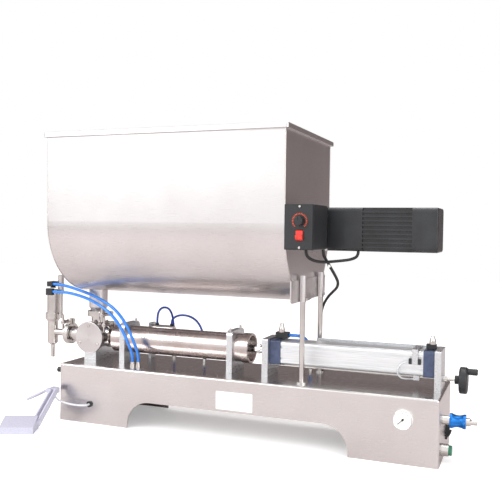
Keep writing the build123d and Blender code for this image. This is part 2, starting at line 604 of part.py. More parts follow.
with BuildPart() as magnet_sensors:
    sensor_y1 = -BARREL_HALF - ARM_GAP + 1.5
    for sensor_side in (-1, 1):
        inner = CARRIAGE_X + sensor_side * CARRIAGE_W / 2
        outer = CARRIAGE_X + sensor_side * SENSOR_L / 2
        block((min(inner, outer), sensor_y1 - SENSOR_T, AXIS_Z - 1),
              (max(inner, outer), sensor_y1, AXIS_Z - 1 + SENSOR_H))

# ------------------------------------------------------------------ rotary valve
with BuildPart() as valve_body:
    along_y(VALVE_Y0, VALVE_Y1, VALVE_X, VALVE_Z, VALVE_BODY_R)
    along_x(NOZZLE_JOINT_X + GASKET_T / 2, CYLINDER_JOINT_X - GASKET_T / 2, 0, VALVE_Z, PIPE_R)
    along_z(VALVE_Z, HOPPER_JOINT_Z - GASKET_T / 2, VALVE_X, 0, PIPE_R)
    along_x(NOZZLE_JOINT_X + GASKET_T / 2, NOZZLE_JOINT_X + GASKET_T / 2 + FERRULE_T, 0, VALVE_Z, FERRULE_R)
    along_x(CYLINDER_JOINT_X - GASKET_T / 2 - FERRULE_T, CYLINDER_JOINT_X - GASKET_T / 2, 0, VALVE_Z, FERRULE_R)
    along_z(HOPPER_JOINT_Z - GASKET_T / 2 - FERRULE_T, HOPPER_JOINT_Z - GASKET_T / 2, VALVE_X, 0, FERRULE_R)
    pipe_bore = PIPE_R - PIPE_WALL
    along_x(NOZZLE_JOINT_X, VALVE_X - VALVE_BODY_R, 0, VALVE_Z, pipe_bore, Mode.SUBTRACT)
    along_x(VALVE_X + VALVE_BODY_R, CYLINDER_JOINT_X, 0, VALVE_Z, pipe_bore, Mode.SUBTRACT)
    along_z(VALVE_Z + VALVE_BODY_R, HOPPER_JOINT_Z, VALVE_X, 0, pipe_bore, Mode.SUBTRACT)
    along_x(NOZZLE_JOINT_X, CYLINDER_JOINT_X, 0, VALVE_Z, VALVE_PORT_R, Mode.SUBTRACT)
    along_z(VALVE_Z, HOPPER_JOINT_Z, VALVE_X, 0, VALVE_PORT_R, Mode.SUBTRACT)
    along_y(VALVE_Y0 - 1, VALVE_Y1 - 10, VALVE_X, VALVE_Z, PLUG_R + RUN, Mode.SUBTRACT)
    along_y(VALVE_Y1 - 11, VALVE_Y1 + 1, VALVE_X, VALVE_Z, SPINDLE_R + RUN, Mode.SUBTRACT)

with BuildPart() as valve_cover:
    along_y(VALVE_Y0 - COVER_T, VALVE_Y0, VALVE_X, VALVE_Z, COVER_R)
    fillet(valve_cover.edges().group_by(Axis.Y)[0], 1.5)
    cover_bolts = [(VALVE_X + COVER_BOLT_R * math.sin(a), VALVE_Z + COVER_BOLT_R * math.cos(a))
                   for a in (0.0, 2 * math.pi / 3, 4 * math.pi / 3)]
    for bolt_x, bolt_z in cover_bolts:
        along_y(VALVE_Y0 - COVER_T - 1, VALVE_Y0 - COVER_T + 4, bolt_x, bolt_z, 5, Mode.SUBTRACT)

# The lever stands half its travel to the left at rest; the yoke slot follows the rod's pin.
REST_ANGLE = math.radians(VALVE_TURN / 2)
YOKE_X = VALVE_X - LEVER_ARM * math.tan(REST_ANGLE)
ROD_STROKE = 2 * LEVER_ARM * math.tan(REST_ANGLE)
YOKE_Z = VALVE_Z + LEVER_ARM
lever_plane = Plane(origin=(VALVE_X, LEVER_Y + LEVER_T / 2, VALVE_Z), x_dir=(math.cos(REST_ANGLE), 0,
                    math.sin(REST_ANGLE)), z_dir=(0, -1, 0))
with BuildPart() as valve_plug:
    along_y(VALVE_Y0 + 0.3, VALVE_Y1 - 10.3, VALVE_X, VALVE_Z, PLUG_R)
    along_y(-17, 17, VALVE_X, VALVE_Z, PLUG_R + 1, Mode.SUBTRACT)
    with BuildSketch(Plane(origin=(VALVE_X, 17, VALVE_Z), x_dir=(1, 0, 0), z_dir=(0, -1, 0))):
        Circle(PLUG_R)
        land = [math.radians(LAND_CENTRE + turn * LAND_HALF_ANGLE) for turn in (-1, 0, 1)]
        Polygon((0, 0), *((2 * PLUG_R * math.cos(a), 2 * PLUG_R * math.sin(a)) for a in land),
                align=None, mode=Mode.INTERSECT)
        Circle(PLUG_CORE_R)
    extrude(amount=34)
    along_y(VALVE_Y1 - 12, LEVER_Y + LEVER_T / 2 + 4, VALVE_X, VALVE_Z, SPINDLE_R)
    with BuildSketch(lever_plane):
        Circle(14)
        with Locations((0, 18)):
            Rectangle(16, 38)
        Circle(SPINDLE_R, mode=Mode.SUBTRACT)
        with Locations((0, LEVER_ARM + 2)):
            SlotOverall(15, 2 * (YOKE_PIN_R + YOKE_SLOT_PLAY), rotation=90, mode=Mode.SUBTRACT)
    extrude(amount=LEVER_T)

with BuildPart() as valve_rod:
    along_x(YOKE_X, MINI_X0 + MINI_L - 12 - ROD_STROKE, LEVER_Y, YOKE_Z, MINI_ROD_R)
    along_x(MINI_X0 + MINI_L - 24 - ROD_STROKE, MINI_X0 + MINI_L - 12 - ROD_STROKE, LEVER_Y, YOKE_Z,
            MINI_R - 3 - RUN)
    block((YOKE_X - 8, LEVER_Y - 12, YOKE_Z - 7), (YOKE_X + 20, LEVER_Y + 12, YOKE_Z + 7))
    block((YOKE_X - 30, LEVER_Y - LEVER_T / 2 - 1, YOKE_Z - 20), (YOKE_X + 30, LEVER_Y + LEVER_T / 2 + 1, YOKE_Z + 20),
          Mode.SUBTRACT)
    along_y(LEVER_Y - 11, LEVER_Y + 11, YOKE_X, YOKE_Z, YOKE_PIN_R)
    along_x(YOKE_X + 28, YOKE_X + 40, LEVER_Y, YOKE_Z, MINI_ROD_R)
    block((YOKE_X + 16, LEVER_Y - 12, YOKE_Z - 7), (YOKE_X + 31, LEVER_Y + 12, YOKE_Z + 7))
    block((YOKE_X - 8, LEVER_Y - 12, YOKE_Z - 7), (YOKE_X + 17, LEVER_Y - LEVER_T / 2 - 1, YOKE_Z + 7))
    block((YOKE_X - 8, LEVER_Y + LEVER_T / 2 + 1, YOKE_Z - 7), (YOKE_X + 17, LEVER_Y + 12, YOKE_Z + 7))

with BuildPart() as valve_cylinder:
    along_x(MINI_X0 - 8, MINI_X0, LEVER_Y, YOKE_Z, 9)
    along_x(MINI_X0, MINI_X0 + MINI_L, LEVER_Y, YOKE_Z, MINI_R)
    fillet(valve_cylinder.edges().group_by(Axis.X)[-1], 2)
    along_x(MINI_X0 + 10, MINI_X0 + MINI_L - 8, LEVER_Y, YOKE_Z, MINI_R - 3, Mode.SUBTRACT)
    along_x(MINI_X0 - 9, MINI_X0 + 11, LEVER_Y, YOKE_Z, MINI_ROD_R + RUN, Mode.SUBTRACT)

# ------------------------------------------------------------------ clamps, gaskets and bolts
def clamp_ring(plane):
    """Grooved ring of a pipe clamp; the pipe's axis is the plane's x axis."""
    with BuildSketch(plane) as section:
        with BuildLine():
            half = CLAMP_W / 2
            groove = GASKET_T / 2 + FERRULE_T + 0.1
            Polyline((-half, CLAMP_LIP_R), (-half, CLAMP_R), (half, CLAMP_R), (half, CLAMP_LIP_R),
                     (groove, CLAMP_LIP_R), (groove, FERRULE_R + 0.3), (-groove, FERRULE_R + 0.3),
                     (-groove, CLAMP_LIP_R), (-half, CLAMP_LIP_R))
        make_face()
    revolve(section.sketch, axis=Axis(plane.origin, plane.x_dir))


joints_x = ((NOZZLE_JOINT_X, VALVE_Z), (CYLINDER_JOINT_X, VALVE_Z))
EAR_L = 11.0
EAR_T = 9.0
with BuildPart() as clamp_rings:
    for joint_x, joint_z in joints_x:
        clamp_ring(Plane(origin=(joint_x, 0, joint_z), x_dir=(1, 0, 0), z_dir=(0, -1, 0)))
        block((joint_x - 6, -EAR_T - CLAMP_SPLIT / 2, joint_z + CLAMP_R - 3),
              (joint_x + 6, EAR_T + CLAMP_SPLIT / 2, joint_z + CLAMP_R + EAR_L))
        block((joint_x - CLAMP_W, -CLAMP_SPLIT / 2, joint_z + FERRULE_R),
              (joint_x + CLAMP_W, CLAMP_SPLIT / 2, joint_z + CLAMP_R + EAR_L + 1), Mode.SUBTRACT)
        block((joint_x - CLAMP_W, -CLAMP_SPLIT / 2, joint_z - CLAMP_R - 1),
              (joint_x + CLAMP_W, CLAMP_SPLIT / 2, joint_z - FERRULE_R), Mode.SUBTRACT)
        along_y(-EAR_T - 3, EAR_T + 3, joint_x, joint_z + CLAMP_R + 5.5, 3.3, Mode.SUBTRACT)
    clamp_ring(Plane(origin=(VALVE_X, 0, HOPPER_JOINT_Z), x_dir=(0, 0, 1), z_dir=(0, 1, 0)))
    block((VALVE_X + CLAMP_R - 3, -EAR_T - CLAMP_SPLIT / 2, HOPPER_JOINT_Z - 6),
          (VALVE_X + CLAMP_R + EAR_L, EAR_T + CLAMP_SPLIT / 2, HOPPER_JOINT_Z + 6))
    block((VALVE_X + FERRULE_R, -CLAMP_SPLIT / 2, HOPPER_JOINT_Z - CLAMP_W),
          (VALVE_X + CLAMP_R + EAR_L + 1, CLAMP_SPLIT / 2, HOPPER_JOINT_Z + CLAMP_W), Mode.SUBTRACT)
    block((VALVE_X - CLAMP_R - 1, -CLAMP_SPLIT / 2, HOPPER_JOINT_Z - CLAMP_W),
          (VALVE_X - FERRULE_R, CLAMP_SPLIT / 2, HOPPER_JOINT_Z + CLAMP_W), Mode.SUBTRACT)
    along_y(-EAR_T - 3, EAR_T + 3, VALVE_X + CLAMP_R + 5.5, HOPPER_JOINT_Z, 3.3, Mode.SUBTRACT)

with BuildPart() as pipe_gaskets:
    for joint_x, joint_z in joints_x:
        along_x(joint_x - GASKET_T / 2, joint_x + GASKET_T / 2, 0, joint_z, FERRULE_R - 0.4)
        along_x(joint_x - GASKET_T, joint_x + GASKET_T, 0, joint_z, pipe_bore, Mode.SUBTRACT)
    along_z(HOPPER_JOINT_Z - GASKET_T / 2, HOPPER_JOINT_Z + GASKET_T / 2, VALVE_X, 0, FERRULE_R - 0.4)
    along_z(HOPPER_JOINT_Z - GASKET_T, HOPPER_JOINT_Z + GASKET_T, VALVE_X, 0, pipe_bore, Mode.SUBTRACT)

# ------------------------------------------------------------------ nozzle
with BuildPart() as nozzle_body:
    taper_z(NOZZLE_BODY_Z0 - 6, NOZZLE_BODY_Z0, NOZZLE_X, 0, NOZZLE_TIP_R + 1, NOZZLE_BODY_R)
    along_z(NOZZLE_BODY_Z0, COLLAR_Z0 - 8, NOZZLE_X, 0, NOZZLE_BODY_R)
    taper_z(COLLAR_Z0 - 8, COLLAR_Z0, NOZZLE_X, 0, NOZZLE_BODY_R, COLLAR_R)
    along_z(COLLAR_Z0, COLLAR_Z0 + COLLAR_H, NOZZLE_X, 0, COLLAR_R)
    along_z(NOZZLE_TIP_Z, NOZZLE_BODY_Z0, NOZZLE_X, 0, NOZZLE_TIP_R)
    along_x(NOZZLE_X, NOZZLE_JOINT_X - 16, 0, VALVE_Z, NOZZLE_PIPE_R)
    taper_x(NOZZLE_JOINT_X - 16, NOZZLE_JOINT_X - 8, 0, VALVE_Z, NOZZLE_PIPE_R, PIPE_R)
    along_x(NOZZLE_JOINT_X - 8, NOZZLE_JOINT_X - GASKET_T / 2, 0, VALVE_Z, PIPE_R)
    along_x(NOZZLE_JOINT_X - GASKET_T / 2 - FERRULE_T, NOZZLE_JOINT_X - GASKET_T / 2, 0, VALVE_Z, FERRULE_R)
    along_x(NOZZLE_X, NOZZLE_JOINT_X + 1, 0, VALVE_Z, NOZZLE_PIPE_R - PIPE_WALL, Mode.SUBTRACT)
    along_z(NOZZLE_BODY_Z0, COLLAR_Z0 - 4, NOZZLE_X, 0, NOZZLE_BODY_R - 4, Mode.SUBTRACT)
    along_z(NOZZLE_TIP_Z + NOZZLE_SEAT_H, NOZZLE_BODY_Z0 + 1, NOZZLE_X, 0, NOZZLE_TIP_R - 1, Mode.SUBTRACT)
    along_z(NOZZLE_TIP_Z - 1, COLLAR_Z0 + COLLAR_H + 1, NOZZLE_X, 0, PLUNGER_R + RUN, Mode.SUBTRACT)
    block((NOZZLE_X + 8, -7, COLLAR_Z0 + 2), (POST_X + 4, 7, COLLAR_Z0 + COLLAR_H - 2))
    along_z(COLLAR_Z0 + 2, COLLAR_Z0 + COLLAR_H - 2, POST_X, 0, 8)
    along_z(COLLAR_Z0 + COLLAR_H - 2, 336, POST_X, 0, 5.5)
    along_z(336, 382, POST_X, 0, 8.5)

with BuildPart() as nozzle_cylinder:
    cyl_z0 = COLLAR_Z0 + COLLAR_H
    cyl_z1 = cyl_z0 + NOZZLE_CYL_H
    along_z(cyl_z0, cyl_z1, NOZZLE_X, 0, NOZZLE_CYL_R)
    fillet(nozzle_cylinder.edges().group_by(Axis.Z)[-1], 2)
    along_z(cyl_z0 + 8, cyl_z1 - 8, NOZZLE_X, 0, NOZZLE_CYL_R - 3, Mode.SUBTRACT)
    along_z(cyl_z0 - 1, cyl_z0 + 9, NOZZLE_X, 0, PLUNGER_R + RUN, Mode.SUBTRACT)

with BuildPart() as nozzle_plunger:
    along_z(NOZZLE_TIP_Z + 0.5, cyl_z0 + 12, NOZZLE_X, 0, PLUNGER_R)
    along_z(cyl_z0 + 12, cyl_z0 + 22, NOZZLE_X, 0, NOZZLE_CYL_R - 3 - RUN)

with BuildPart() as black_fittings:
    # top elbow of the nozzle cylinder, turned towards the tubes
    along_z(cyl_z1, cyl_z1 + 22, NOZZLE_X, 0, 6)
    along_z(cyl_z1, cyl_z1 + 8, NOZZLE_X, 0, 8)
    block((NOZZLE_X - 7, -20, cyl_z1 + 10), (NOZZLE_X + 11, 7, cyl_z1 + 24))
    # side elbow
    along_y(-NOZZLE_CYL_R - 12, -NOZZLE_CYL_R + 1.5, NOZZLE_X + 4, 333, 6)
    block((NOZZLE_X - 3, -NOZZLE_CYL_R - 14, 326), (NOZZLE_X + 18, -NOZZLE_CYL_R + 5.5 - 8, 345))
    along_z(270, 345, NOZZLE_X, 0, NOZZLE_CYL_R, Mode.SUBTRACT)
    # port elbows of the valve cylinder
    for port_x in (-300.0, -254.0):
        along_z(YOKE_Z + MINI_R - 1, MINI_PORT_TOP, port_x, LEVER_Y, 5)
    along_x(MINI_X0 - 1, MINI_X0 + MINI_L + 1, LEVER_Y, YOKE_Z, MINI_R, Mode.SUBTRACT)
    # flow-control bodies on the air cylinder's caps
    along_z(AXIS_Z + CAP_HALF, 249, 88, 0, 8)
    block((80, -8, 248), (112, 14, 262))
    along_z(AXIS_Z + CAP_HALF, 249, 466, 0, 8)
    block((456, -8, 247), (479, 8, 258))

# ------------------------------------------------------------------ hopper
with BuildPart() as hopper_trough:
    wall_top = HOPPER_TOP_Z - RIM_H
    shell_x0 = HOPPER_X0 + PLATE
    shell_l = HOPPER_X1 - HOPPER_X0 - 2 * PLATE
    trough_outline(shell_x0, HOPPER_R, wall_top, shell_l)
    with BuildSketch(Plane.XY.offset(wall_top)):
        with Locations(((HOPPER_X0 + HOPPER_X1) / 2, 0)):
            RectangleRounded(HOPPER_X1 - HOPPER_X0 + 2 * RIM_W, 2 * (HOPPER_R + RIM_W), 6)
    extrude(amount=RIM_H)
    fillet(hopper_trough.faces().sort_by(Axis.Z)[-1].edges(), 3)
    along_z(HOPPER_JOINT_Z + GASKET_T / 2, HOPPER_JOINT_Z + 8, OUTLET_X + 2, 0, PIPE_R)
    along_z(HOPPER_JOINT_Z + GASKET_T / 2, HOPPER_JOINT_Z + GASKET_T / 2 + FERRULE_T, OUTLET_X + 2, 0, FERRULE_R)
    taper_z(HOPPER_JOINT_Z + 8, HOPPER_JOINT_Z + 18, OUTLET_X + 2, 0, PIPE_R, OUTLET_R)
    along_z(HOPPER_JOINT_Z + 18, HOPPER_CENTRE_Z - HOPPER_R + 6, OUTLET_X + 2, 0, OUTLET_R)
    inner_r = HOPPER_R - SHEET
    trough_outline(shell_x0, inner_r, HOPPER_TOP_Z + 1, shell_l, Mode.SUBTRACT)
    along_z(HOPPER_JOINT_Z, HOPPER_CENTRE_Z, OUTLET_X + 2, 0, pipe_bore, Mode.SUBTRACT)

with BuildPart() as hopper_end_plates:
    for plate_x in (HOPPER_X0, HOPPER_X1 - PLATE):
        trough_outline(plate_x, HOPPER_R, wall_top, PLATE)
    along_x(HOPPER_X0 - 1, HOPPER_X1 + 1, 0, HOPPER_CENTRE_Z, SHAFT_R + 4, Mode.SUBTRACT)

with BuildPart() as saddle_plate:
    with BuildSketch(Plane.YZ.offset(HOPPER_X1)) as saddle:
        with Locations((0, (SADDLE_Z0 + SADDLE_Z1) / 2)):
            Rectangle(2 * SADDLE_HALF_W, SADDLE_Z1 - SADDLE_Z0)
        fillet(saddle.vertices().group_by(Axis.Y)[0], 14)
    extrude(amount=SADDLE_T)
    leg_x = HOPPER_X1 + SADDLE_T + SLEEVE_R - 1
    for side in (-1, 1):
        along_z(SADDLE_Z0, SLEEVE_Z1, leg_x, side * LEG_Y, SLEEVE_R)
        along_z(SADDLE_Z0 - 1, SLEEVE_Z1 + 1, leg_x, side * LEG_Y, LEG_R, Mode.SUBTRACT)

with BuildPart() as support_legs:
    for side in (-1, 1):
        along_z(BASE_H + 4, SLEEVE_Z1 - 4, leg_x, side * LEG_Y, LEG_R)
        along_z(BASE_H, BASE_H + 4, leg_x, side * LEG_Y, 14)

MOTOR_Z = HOPPER_CENTRE_Z - MOTOR_DROP
with BuildPart() as shaft_housings:
    along_x(HOPPER_X0 - 16, HOPPER_X0, 0, HOPPER_CENTRE_Z, 26)
    along_x(HOPPER_X1, HOPPER_X1 + 22, 0, HOPPER_CENTRE_Z, 30)
    fillet(shaft_housings.edges().group_by(Axis.X)[0], 3)
    along_x(HOPPER_X0 - 10, HOPPER_X1 + 30, 0, HOPPER_CENTRE_Z, SHAFT_R + RUN, Mode.SUBTRACT)
    block((MOUNT_PLATE_X, -MOTOR_HALF, MOTOR_Z - MOTOR_HALF),
          (MOUNT_PLATE_X + MOUNT_PLATE_T, MOTOR_HALF, MOTOR_Z + MOTOR_HALF))
    for post_y in (-42, 42):
        for post_z in (MOTOR_Z - 42, MOTOR_Z + 42):
            along_x(HOPPER_X1, MOUNT_PLATE_X, post_y, post_z, 6)
    along_x(MOUNT_PLATE_X - 1, MOUNT_PLATE_X + MOUNT_PLATE_T + 1, 0, HOPPER_CENTRE_Z, SHAFT_R + 5, Mode.SUBTRACT)

with BuildPart() as gearmotor:
    gear_x0 = MOUNT_PLATE_X + MOUNT_PLATE_T
    block((gear_x0, -MOTOR_HALF, MOTOR_Z - MOTOR_HALF), (GEARBOX_X1, MOTOR_HALF, MOTOR_Z + MOTOR_HALF))
    fillet(gearmotor.edges().filter_by(Axis.X), 8)
    core = MOTOR_HALF - FIN_DEPTH
    block((GEARBOX_X1, -core, MOTOR_Z - core), (FINS_X1, core, MOTOR_Z + core))
    fin_count = int(2 * (MOTOR_HALF - 8) / FIN_PITCH) + 1
    for i in range(fin_count):
        fin = (i - (fin_count - 1) / 2) * FIN_PITCH
        block((GEARBOX_X1, -MOTOR_HALF, MOTOR_Z + fin - 2), (FINS_X1, MOTOR_HALF, MOTOR_Z + fin + 2))
        block((GEARBOX_X1, fin - 2, MOTOR_Z - MOTOR_HALF), (FINS_X1, fin + 2, MOTOR_Z + MOTOR_HALF))
    along_x(gear_x0 - 1, gear_x0 + 40, 0, HOPPER_CENTRE_Z, SHAFT_R + 1, Mode.SUBTRACT)

with BuildPart() as fan_cover:
    block((FINS_X1, -MOTOR_HALF, MOTOR_Z - MOTOR_HALF), (FAN_X1, MOTOR_HALF, MOTOR_Z + MOTOR_HALF))
    fillet(fan_cover.edges().filter_by(Axis.X), 10)
    fillet(fan_cover.edges().group_by(Axis.X)[-1], 4)
    block((FINS_X1 - 1, -MOTOR_HALF + 12, MOTOR_Z - MOTOR_HALF + 12),
          (FAN_X1 - 3, MOTOR_HALF - 12, MOTOR_Z + MOTOR_HALF - 12), Mode.SUBTRACT)

with BuildPart() as mixer_shaft:
    first_x = HOPPER_X0 + 70
    step_x = (HOPPER_X1 - HOPPER_X0 - 140) / (PADDLE_COUNT - 1)
    for i in range(PADDLE_COUNT):
        with Locations(Location((first_x + i * step_x, 0, HOPPER_CENTRE_Z), (1, 0, 0), 90 * (i % 4))):
            with Locations((0, 0, (PADDLE_R - 20) / 2)):
                Cylinder(ARM_ROD_R, PADDLE_R - 20)
            with Locations(Location((0, 0, PADDLE_R - 26), (0, 0, 1), 40)):
                Box(PADDLE_W, PADDLE_T, 50)
    along_x(HOPPER_X0 - 9, gear_x0 + 30, 0, HOPPER_CENTRE_Z, SHAFT_R)

# ------------------------------------------------------------------ speed controller
with BuildPart() as controller_housing:
    block((HOPPER_X1, CONTROLLER_Y0, CONTROLLER_Z0), (CONTROLLER_X1, CONTROLLER_Y1, CONTROLLER_Z1))
    fillet(controller_housing.edges().filter_by(Axis.Y), 2)
    block((HOPPER_X1 + 3, CONTROLLER_Y0 - 2, CONTROLLER_Z0 + 2), (CONTROLLER_X1 - 1.5, CONTROLLER_Y0, CONTROLLER_Z1 - 2))
    along_y(CONTROLLER_Y0 - 3, CONTROLLER_Y0 + 12, KNOB_X, KNOB_Z, 3 + RUN, Mode.SUBTRACT)
    block((KNOB_X - ROCKER_HALF_W - 0.4, CONTROLLER_Y0 - 3, ROCKER_Z - ROCKER_R - 0.4),
          (KNOB_X + ROCKER_HALF_W + 0.4, CONTROLLER_Y0 + 14, ROCKER_Z + ROCKER_R + 0.4), Mode.SUBTRACT)

with BuildPart() as speed_knob:
    knob_y = CONTROLLER_Y0 - 2.6
    along_y(knob_y - KNOB_H, knob_y, KNOB_X, KNOB_Z, KNOB_R)
    fillet(speed_knob.edges().group_by(Axis.Y)[0], 1.5)
    along_y(knob_y, CONTROLLER_Y0 + 10, KNOB_X, KNOB_Z, 3)
    block((KNOB_X - 0.8, knob_y - KNOB_H - 1, KNOB_Z + 2), (KNOB_X + 0.8, knob_y - KNOB_H + 1, KNOB_Z + KNOB_R + 1),
          Mode.SUBTRACT)

with BuildPart() as red_rocker:
    pivot_y = CONTROLLER_Y0 + 1.0
    along_x(KNOB_X - ROCKER_HALF_W, KNOB_X + ROCKER_HALF_W, pivot_y, ROCKER_Z, ROCKER_R)
    block((KNOB_X - 20, pivot_y - 30, ROCKER_Z), (KNOB_X + 20, pivot_y - 7, ROCKER_Z + 20), Mode.SUBTRACT)

# ------------------------------------------------------------------ screws
with BuildPart() as fasteners:
    for bracket_x in TUBE_BRACKET_XS:
        for side in (-1, 1):
            along_z(AXIS_Z + TUBE_BRACKET_TOP - 8, AXIS_Z + TUBE_BRACKET_TOP + 6, bracket_x,
                    side * (BRACKET_HALF_W - 8), 3)
    for bolt_x, bolt_z in cover_bolts:
        along_y(VALVE_Y0 - COVER_T + 0.5, VALVE_Y0 - COVER_T + 4, bolt_x, bolt_z, 4.8)
    for side in (-1, 1):
        along_x(leg_x + SLEEVE_R, leg_x + SLEEVE_R + 3, side * LEG_Y, SADDLE_Z0 + 8, 4)
    for screw_z in (CONTROLLER_Z0 + 5, CONTROLLER_Z1 - 5):
        along_y(CONTROLLER_Y0 - 4.5, CONTROLLER_Y0 - 2, KNOB_X, screw_z, 2.6)
    bolt_seats = [(joint_x, joint_z + CLAMP_R + 5.5) for joint_x, joint_z in joints_x]
    bolt_seats.append((VALVE_X + CLAMP_R + 5.5, HOPPER_JOINT_Z))
    ear_face = EAR_T + CLAMP_SPLIT / 2
    nut_face = -CLAMP_R - 1
    for bolt_x, bolt_z in bolt_seats:
        along_y(nut_face - 12, ear_face, bolt_x, bolt_z, 3)
        along_y(ear_face, ear_face + 4, bolt_x, bolt_z, 5)
        along_y(nut_face, -ear_face, bolt_x, bolt_z, 4.5)
        along_y(nut_face - 9, nut_face, bolt_x, bolt_z, 6)
        block((bolt_x - 2, nut_face - 8, bolt_z + 4), (bolt_x + 2, nut_face - 3, bolt_z + 20))
        block((bolt_x - 2, nut_face - 8, bolt_z - 20), (bolt_x + 2, nut_face - 3, bolt_z - 4))

# ------------------------------------------------------------------ foot pedal
# In the pedal's own frame +X runs to its left end, +Y to its front and +Z up.
pedal_plane = Plane(origin=(PEDAL_X, PEDAL_Y, 0), x_dir=(math.sin(math.radians(PEDAL_ANGLE)) * -1,
                    math.cos(math.radians(PEDAL_ANGLE)), 0), z_dir=(math.cos(math.radians(PEDAL_ANGLE)),
                    math.sin(math.radians(PEDAL_ANGLE)), 0))
BLOCK_X0 = PEDAL_HINGE_X + 6
BLOCK_X1 = PEDAL_HINGE_X + 24
with BuildPart() as pedal_base:
    with BuildSketch(pedal_plane):
        with BuildLine():
            Polyline((0, 0), (PEDAL_DEPTH, 0), (PEDAL_DEPTH, PEDAL_FRONT_H - 5),
                     (PEDAL_DEPTH - 5, PEDAL_FRONT_H), (5, PEDAL_REAR_H), (0, PEDAL_REAR_H - 5), (0, 0))
        make_face()
    extrude(amount=PEDAL_W)
    for arm_x in (BLOCK_X0, BLOCK_X1 - 4):
        with BuildSketch(Plane.YZ.offset(arm_x)):
            with BuildLine():
                Polyline((-232, 8), (-226, 20), (PEDAL_HINGE_Y - 8, 92), (PEDAL_HINGE_Y + 8, 92),
                         (PEDAL_HINGE_Y + 8, 80), (PEDAL_HINGE_Y - 2, 77), (-214, 8), (-232, 8))
            make_face()
        extrude(amount=4)
    block((BLOCK_X0, PEDAL_HINGE_Y - 8, 78), (BLOCK_X1, PEDAL_HINGE_Y + 8, 92))
    for side in (-1, 1):
        lug_y = PEDAL_HINGE_Y + side * 12
        block((PEDAL_HINGE_X, lug_y - 3, PEDAL_HINGE_Z - 6), (BLOCK_X0 + 6, lug_y + 3, PEDAL_HINGE_Z + 6))
        along_y(lug_y - 3, lug_y + 3, PEDAL_HINGE_X, PEDAL_HINGE_Z, 6)
        block((BLOCK_X0 + 1, min(lug_y, lug_y - side * 6), 79), (BLOCK_X0 + 6, max(lug_y, lug_y - side * 6), 91))
    along_y(PEDAL_HINGE_Y - 15, PEDAL_HINGE_Y + 15, PEDAL_HINGE_X, PEDAL_HINGE_Z, PEDAL_PIN_R)

tread_plane = Plane(origin=(PEDAL_HINGE_X, PEDAL_HINGE_Y, PEDAL_HINGE_Z),
                    x_dir=(-math.cos(math.radians(PEDAL_SLOPE)), 0, -math.sin(math.radians(PEDAL_SLOPE))),
                    z_dir=(-math.sin(math.radians(PEDAL_SLOPE)), 0, math.cos(math.radians(PEDAL_SLOPE))))
with BuildPart() as pedal_tread:
    with BuildSketch(tread_plane.offset(1)):
        with Locations((PEDAL_TREAD_L / 2 + 4, 0)):
            Ellipse(PEDAL_TREAD_L / 2, PEDAL_TREAD_W / 2)
        with Locations((10, 0)):
            Rectangle(14, 16)
    extrude(amount=PEDAL_TREAD_T)
    along_y(PEDAL_HINGE_Y - 8, PEDAL_HINGE_Y + 8, PEDAL_HINGE_X, PEDAL_HINGE_Z, 5.6)
    along_y(PEDAL_HINGE_Y - 9, PEDAL_HINGE_Y + 9, PEDAL_HINGE_X, PEDAL_HINGE_Z, PEDAL_PIN_R + RUN, Mode.SUBTRACT)

# ------------------------------------------------------------------ cords
blue_tube_upper = cord(BLUE_UPPER, BLUE_TUBE_D)
blue_tube_lower = cord(BLUE_LOWER, BLUE_TUBE_D)
valve_tube_left = cord(VALVE_TUBE_LEFT, THIN_TUBE_D)
valve_tube_right = cord(VALVE_TUBE_RIGHT, THIN_TUBE_D)
port_tube = cord(PORT_TUBE, BLUE_TUBE_D)
sensor_cable = cord(SENSOR_CABLE, SENSOR_CABLE_D)
motor_lead = cord(MOTOR_LEAD, LEAD_D)
mains_lead = cord(MAINS_LEAD, LEAD_D)
pedal_cable = cord(PEDAL_CABLE, PEDAL_CABLE_D)

with BuildPart() as mains_coil:
    with BuildSketch(Plane.XZ):
        with Locations((COIL_R, 0)):
            Circle(COIL_SECTION / 2)
    revolve(axis=Axis.Z)
    mains_coil.part.position = (COIL_CENTRE[0], COIL_CENTRE[1], COIL_SECTION / 2)

tail_y = COIL_CENTRE[1] - COIL_R - LEAD_D / 2
with BuildPart() as mains_plug:
    along_x(COIL_CENTRE[0], COIL_CENTRE[0] + 46, tail_y, 9, LEAD_D / 2)
    block((COIL_CENTRE[0] + 45, tail_y - 13, 0.5), (COIL_CENTRE[0] + 82, tail_y + 13, 17.5))
    fillet(mains_plug.edges().filter_by(Axis.X), 5)
    for pin_y in (tail_y - 6.5, tail_y + 6.5):
        block((COIL_CENTRE[0] + 82, pin_y - 0.8, 6), (COIL_CENTRE[0] + 99, pin_y + 0.8, 12))

